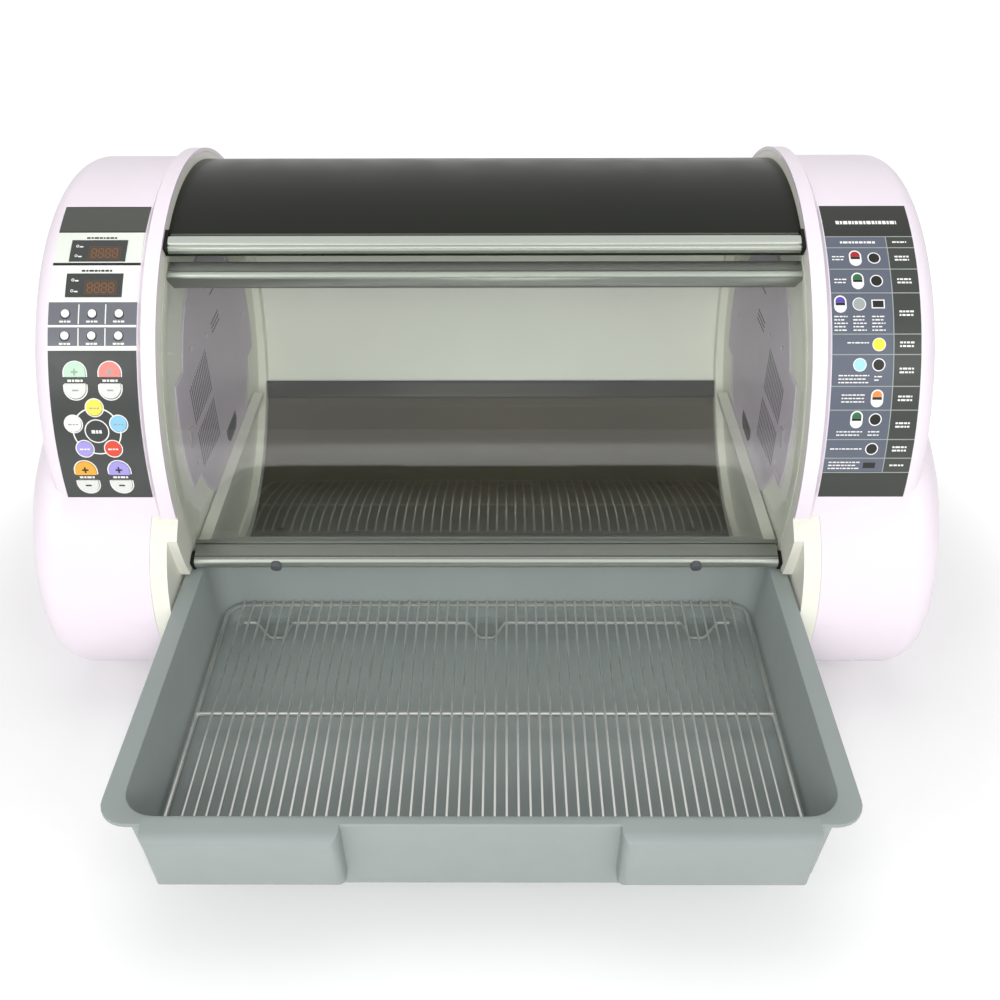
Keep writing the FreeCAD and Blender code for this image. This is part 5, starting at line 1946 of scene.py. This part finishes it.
@dataclass(frozen=True)
class Lamp:
    """A soft square lamp that points at the object.

    Attributes:
        name: the lamp's name.
        place: its position in metres.
        size: its side in metres.
        power: its power in watts.
        target: the point that it faces, in metres.
        mirrored: whether glossy and clear surfaces show it.
    """

    name: str
    place: tuple[float, float, float]
    size: float
    power: float
    target: tuple[float, float, float] = (0.0, 0.0, 0.25)
    mirrored: bool = True

    def build(self) -> None:
        """Make the lamp."""
        data = bpy.data.lights.new(self.name, "AREA")
        data.shape = "SQUARE"
        data.size = self.size
        data.energy = self.power
        lamp = bpy.data.objects.new(self.name, data)
        bpy.context.scene.collection.objects.link(lamp)
        lamp.location = self.place
        line = Vector(self.target) - Vector(self.place)
        lamp.rotation_mode = "QUATERNION"
        lamp.rotation_quaternion = line.to_track_quat("-Z", "Y")
        lamp.visible_glossy = self.mirrored
        lamp.visible_transmission = self.mirrored


@dataclass
class Studio:
    """Pale floor, pale surroundings and soft lamps.

    Attributes:
        floor_side: side of the floor in metres.
        sky: strength of the surroundings as a light.
        near: distance from the middle within which the floor keeps its shadow, in metres.
        far: distance from the middle past which the floor is white, in metres.
        paper: lightness of the floor.
        glow: how far the floor is lifted towards white near the middle and far from it.
        lamps: the lamps.
    """

    floor_side: float = 40.0
    sky: float = 0.55
    near: float = 0.55
    far: float = 1.0
    paper: float = 0.9
    glow: tuple[float, float] = (0.1, 0.6)
    lamps: tuple[Lamp, ...] = (
        Lamp("left_softbox", (-1.5, -1.7, 1.5), 0.9, 8.0),
        Lamp("right_softbox", (1.5, -1.7, 1.5), 0.9, 8.0),
        Lamp("top_softbox", (0.0, 0.3, 2.3), 1.6, 13.0, mirrored=False),
        Lamp("front_softbox", (0.0, -1.9, 1.1), 0.7, 21.0, (0.0, 0.1, 0.3), False),
    )

    def seen(self, tree: bpy.types.NodeTree) -> bpy.types.NodeSocket:
        """1 for rays that look straight at the background, or at it in metal or through glass.

        Args:
            tree: the node tree.

        Returns:
            Socket with the 1 or 0.
        """
        path = add(tree, "ShaderNodeLightPath")
        direct = add(tree, "ShaderNodeMath", {"operation": "MAXIMUM"},
                     {0: path.outputs["Is Camera Ray"], 1: path.outputs["Is Transmission Ray"]})
        return add(tree, "ShaderNodeMath", {"operation": "MAXIMUM"},
                   {0: direct.outputs[0], 1: path.outputs["Is Glossy Ray"]}).outputs[0]

    def floor(self) -> None:
        """Lay the floor, white to the camera where no shadow falls."""
        deselect()
        bpy.ops.mesh.primitive_plane_add(size=self.floor_side)
        plane = bpy.context.object
        plane.name = "floor"
        made = bpy.data.materials.new("white_paper_floor")
        made.use_nodes = True
        tree = made.node_tree
        tree.nodes.clear()
        paper = add(tree, "ShaderNodeBsdfDiffuse", {"Color": (*[self.paper] * 3, 1.0)})
        place = add(tree, "ShaderNodeTexCoord").outputs["Object"]
        away = add(tree, "ShaderNodeVectorMath", {"operation": "LENGTH"}, {0: place}).outputs[1]
        level = add(tree, "ShaderNodeMapRange",
                    {"interpolation_type": "SMOOTHSTEP", "From Min": self.near,
                     "From Max": self.far, "To Min": self.glow[0], "To Max": self.glow[1]},
                    {"Value": away})
        glow = add(tree, "ShaderNodeEmission", links={"Strength": level.outputs[0]})
        none = add(tree, "ShaderNodeEmission", {"Strength": 0.0})
        lift = add(tree, "ShaderNodeMixShader", links={
            0: self.seen(tree), 1: none.outputs[0], 2: glow.outputs[0]})
        both = add(tree, "ShaderNodeAddShader", links={0: paper.outputs[0], 1: lift.outputs[0]})
        add(tree, "ShaderNodeOutputMaterial", links={"Surface": both.outputs[0]})
        plane.data.materials.append(made)

    def surroundings(self) -> None:
        """White all round, at full strength only for what looks at it directly."""
        world = bpy.data.worlds.new("studio")
        world.use_nodes = True
        tree = world.node_tree
        tree.nodes.clear()
        level = add(tree, "ShaderNodeMapRange", {"To Min": self.sky, "To Max": 1.0},
                    {"Value": self.seen(tree)})
        light = add(tree, "ShaderNodeBackground", links={"Strength": level.outputs[0]})
        add(tree, "ShaderNodeOutputWorld", links={"Surface": light.outputs[0]})
        bpy.context.scene.world = world

    def build(self) -> None:
        """Set the studio up."""
        self.floor()
        self.surroundings()
        for lamp in self.lamps:
            lamp.build()
        bpy.context.scene.view_settings.view_transform = "Standard"


def main() -> None:
    """Dress every sub-assembly, then set up the view and the studio."""
    logging.basicConfig(level=logging.INFO, format="%(name)s: %(message)s")
    for assembly in (Housings(), Chamber(), Door(), Tray(), Services(), Controls(),
                     InstructionLabel()):
        assembly.build()
        LOG.info("finished %s", type(assembly).__name__)
    Viewpoint().build()
    Studio().build()
    deselect()


if __name__ == "__main__":
    main()
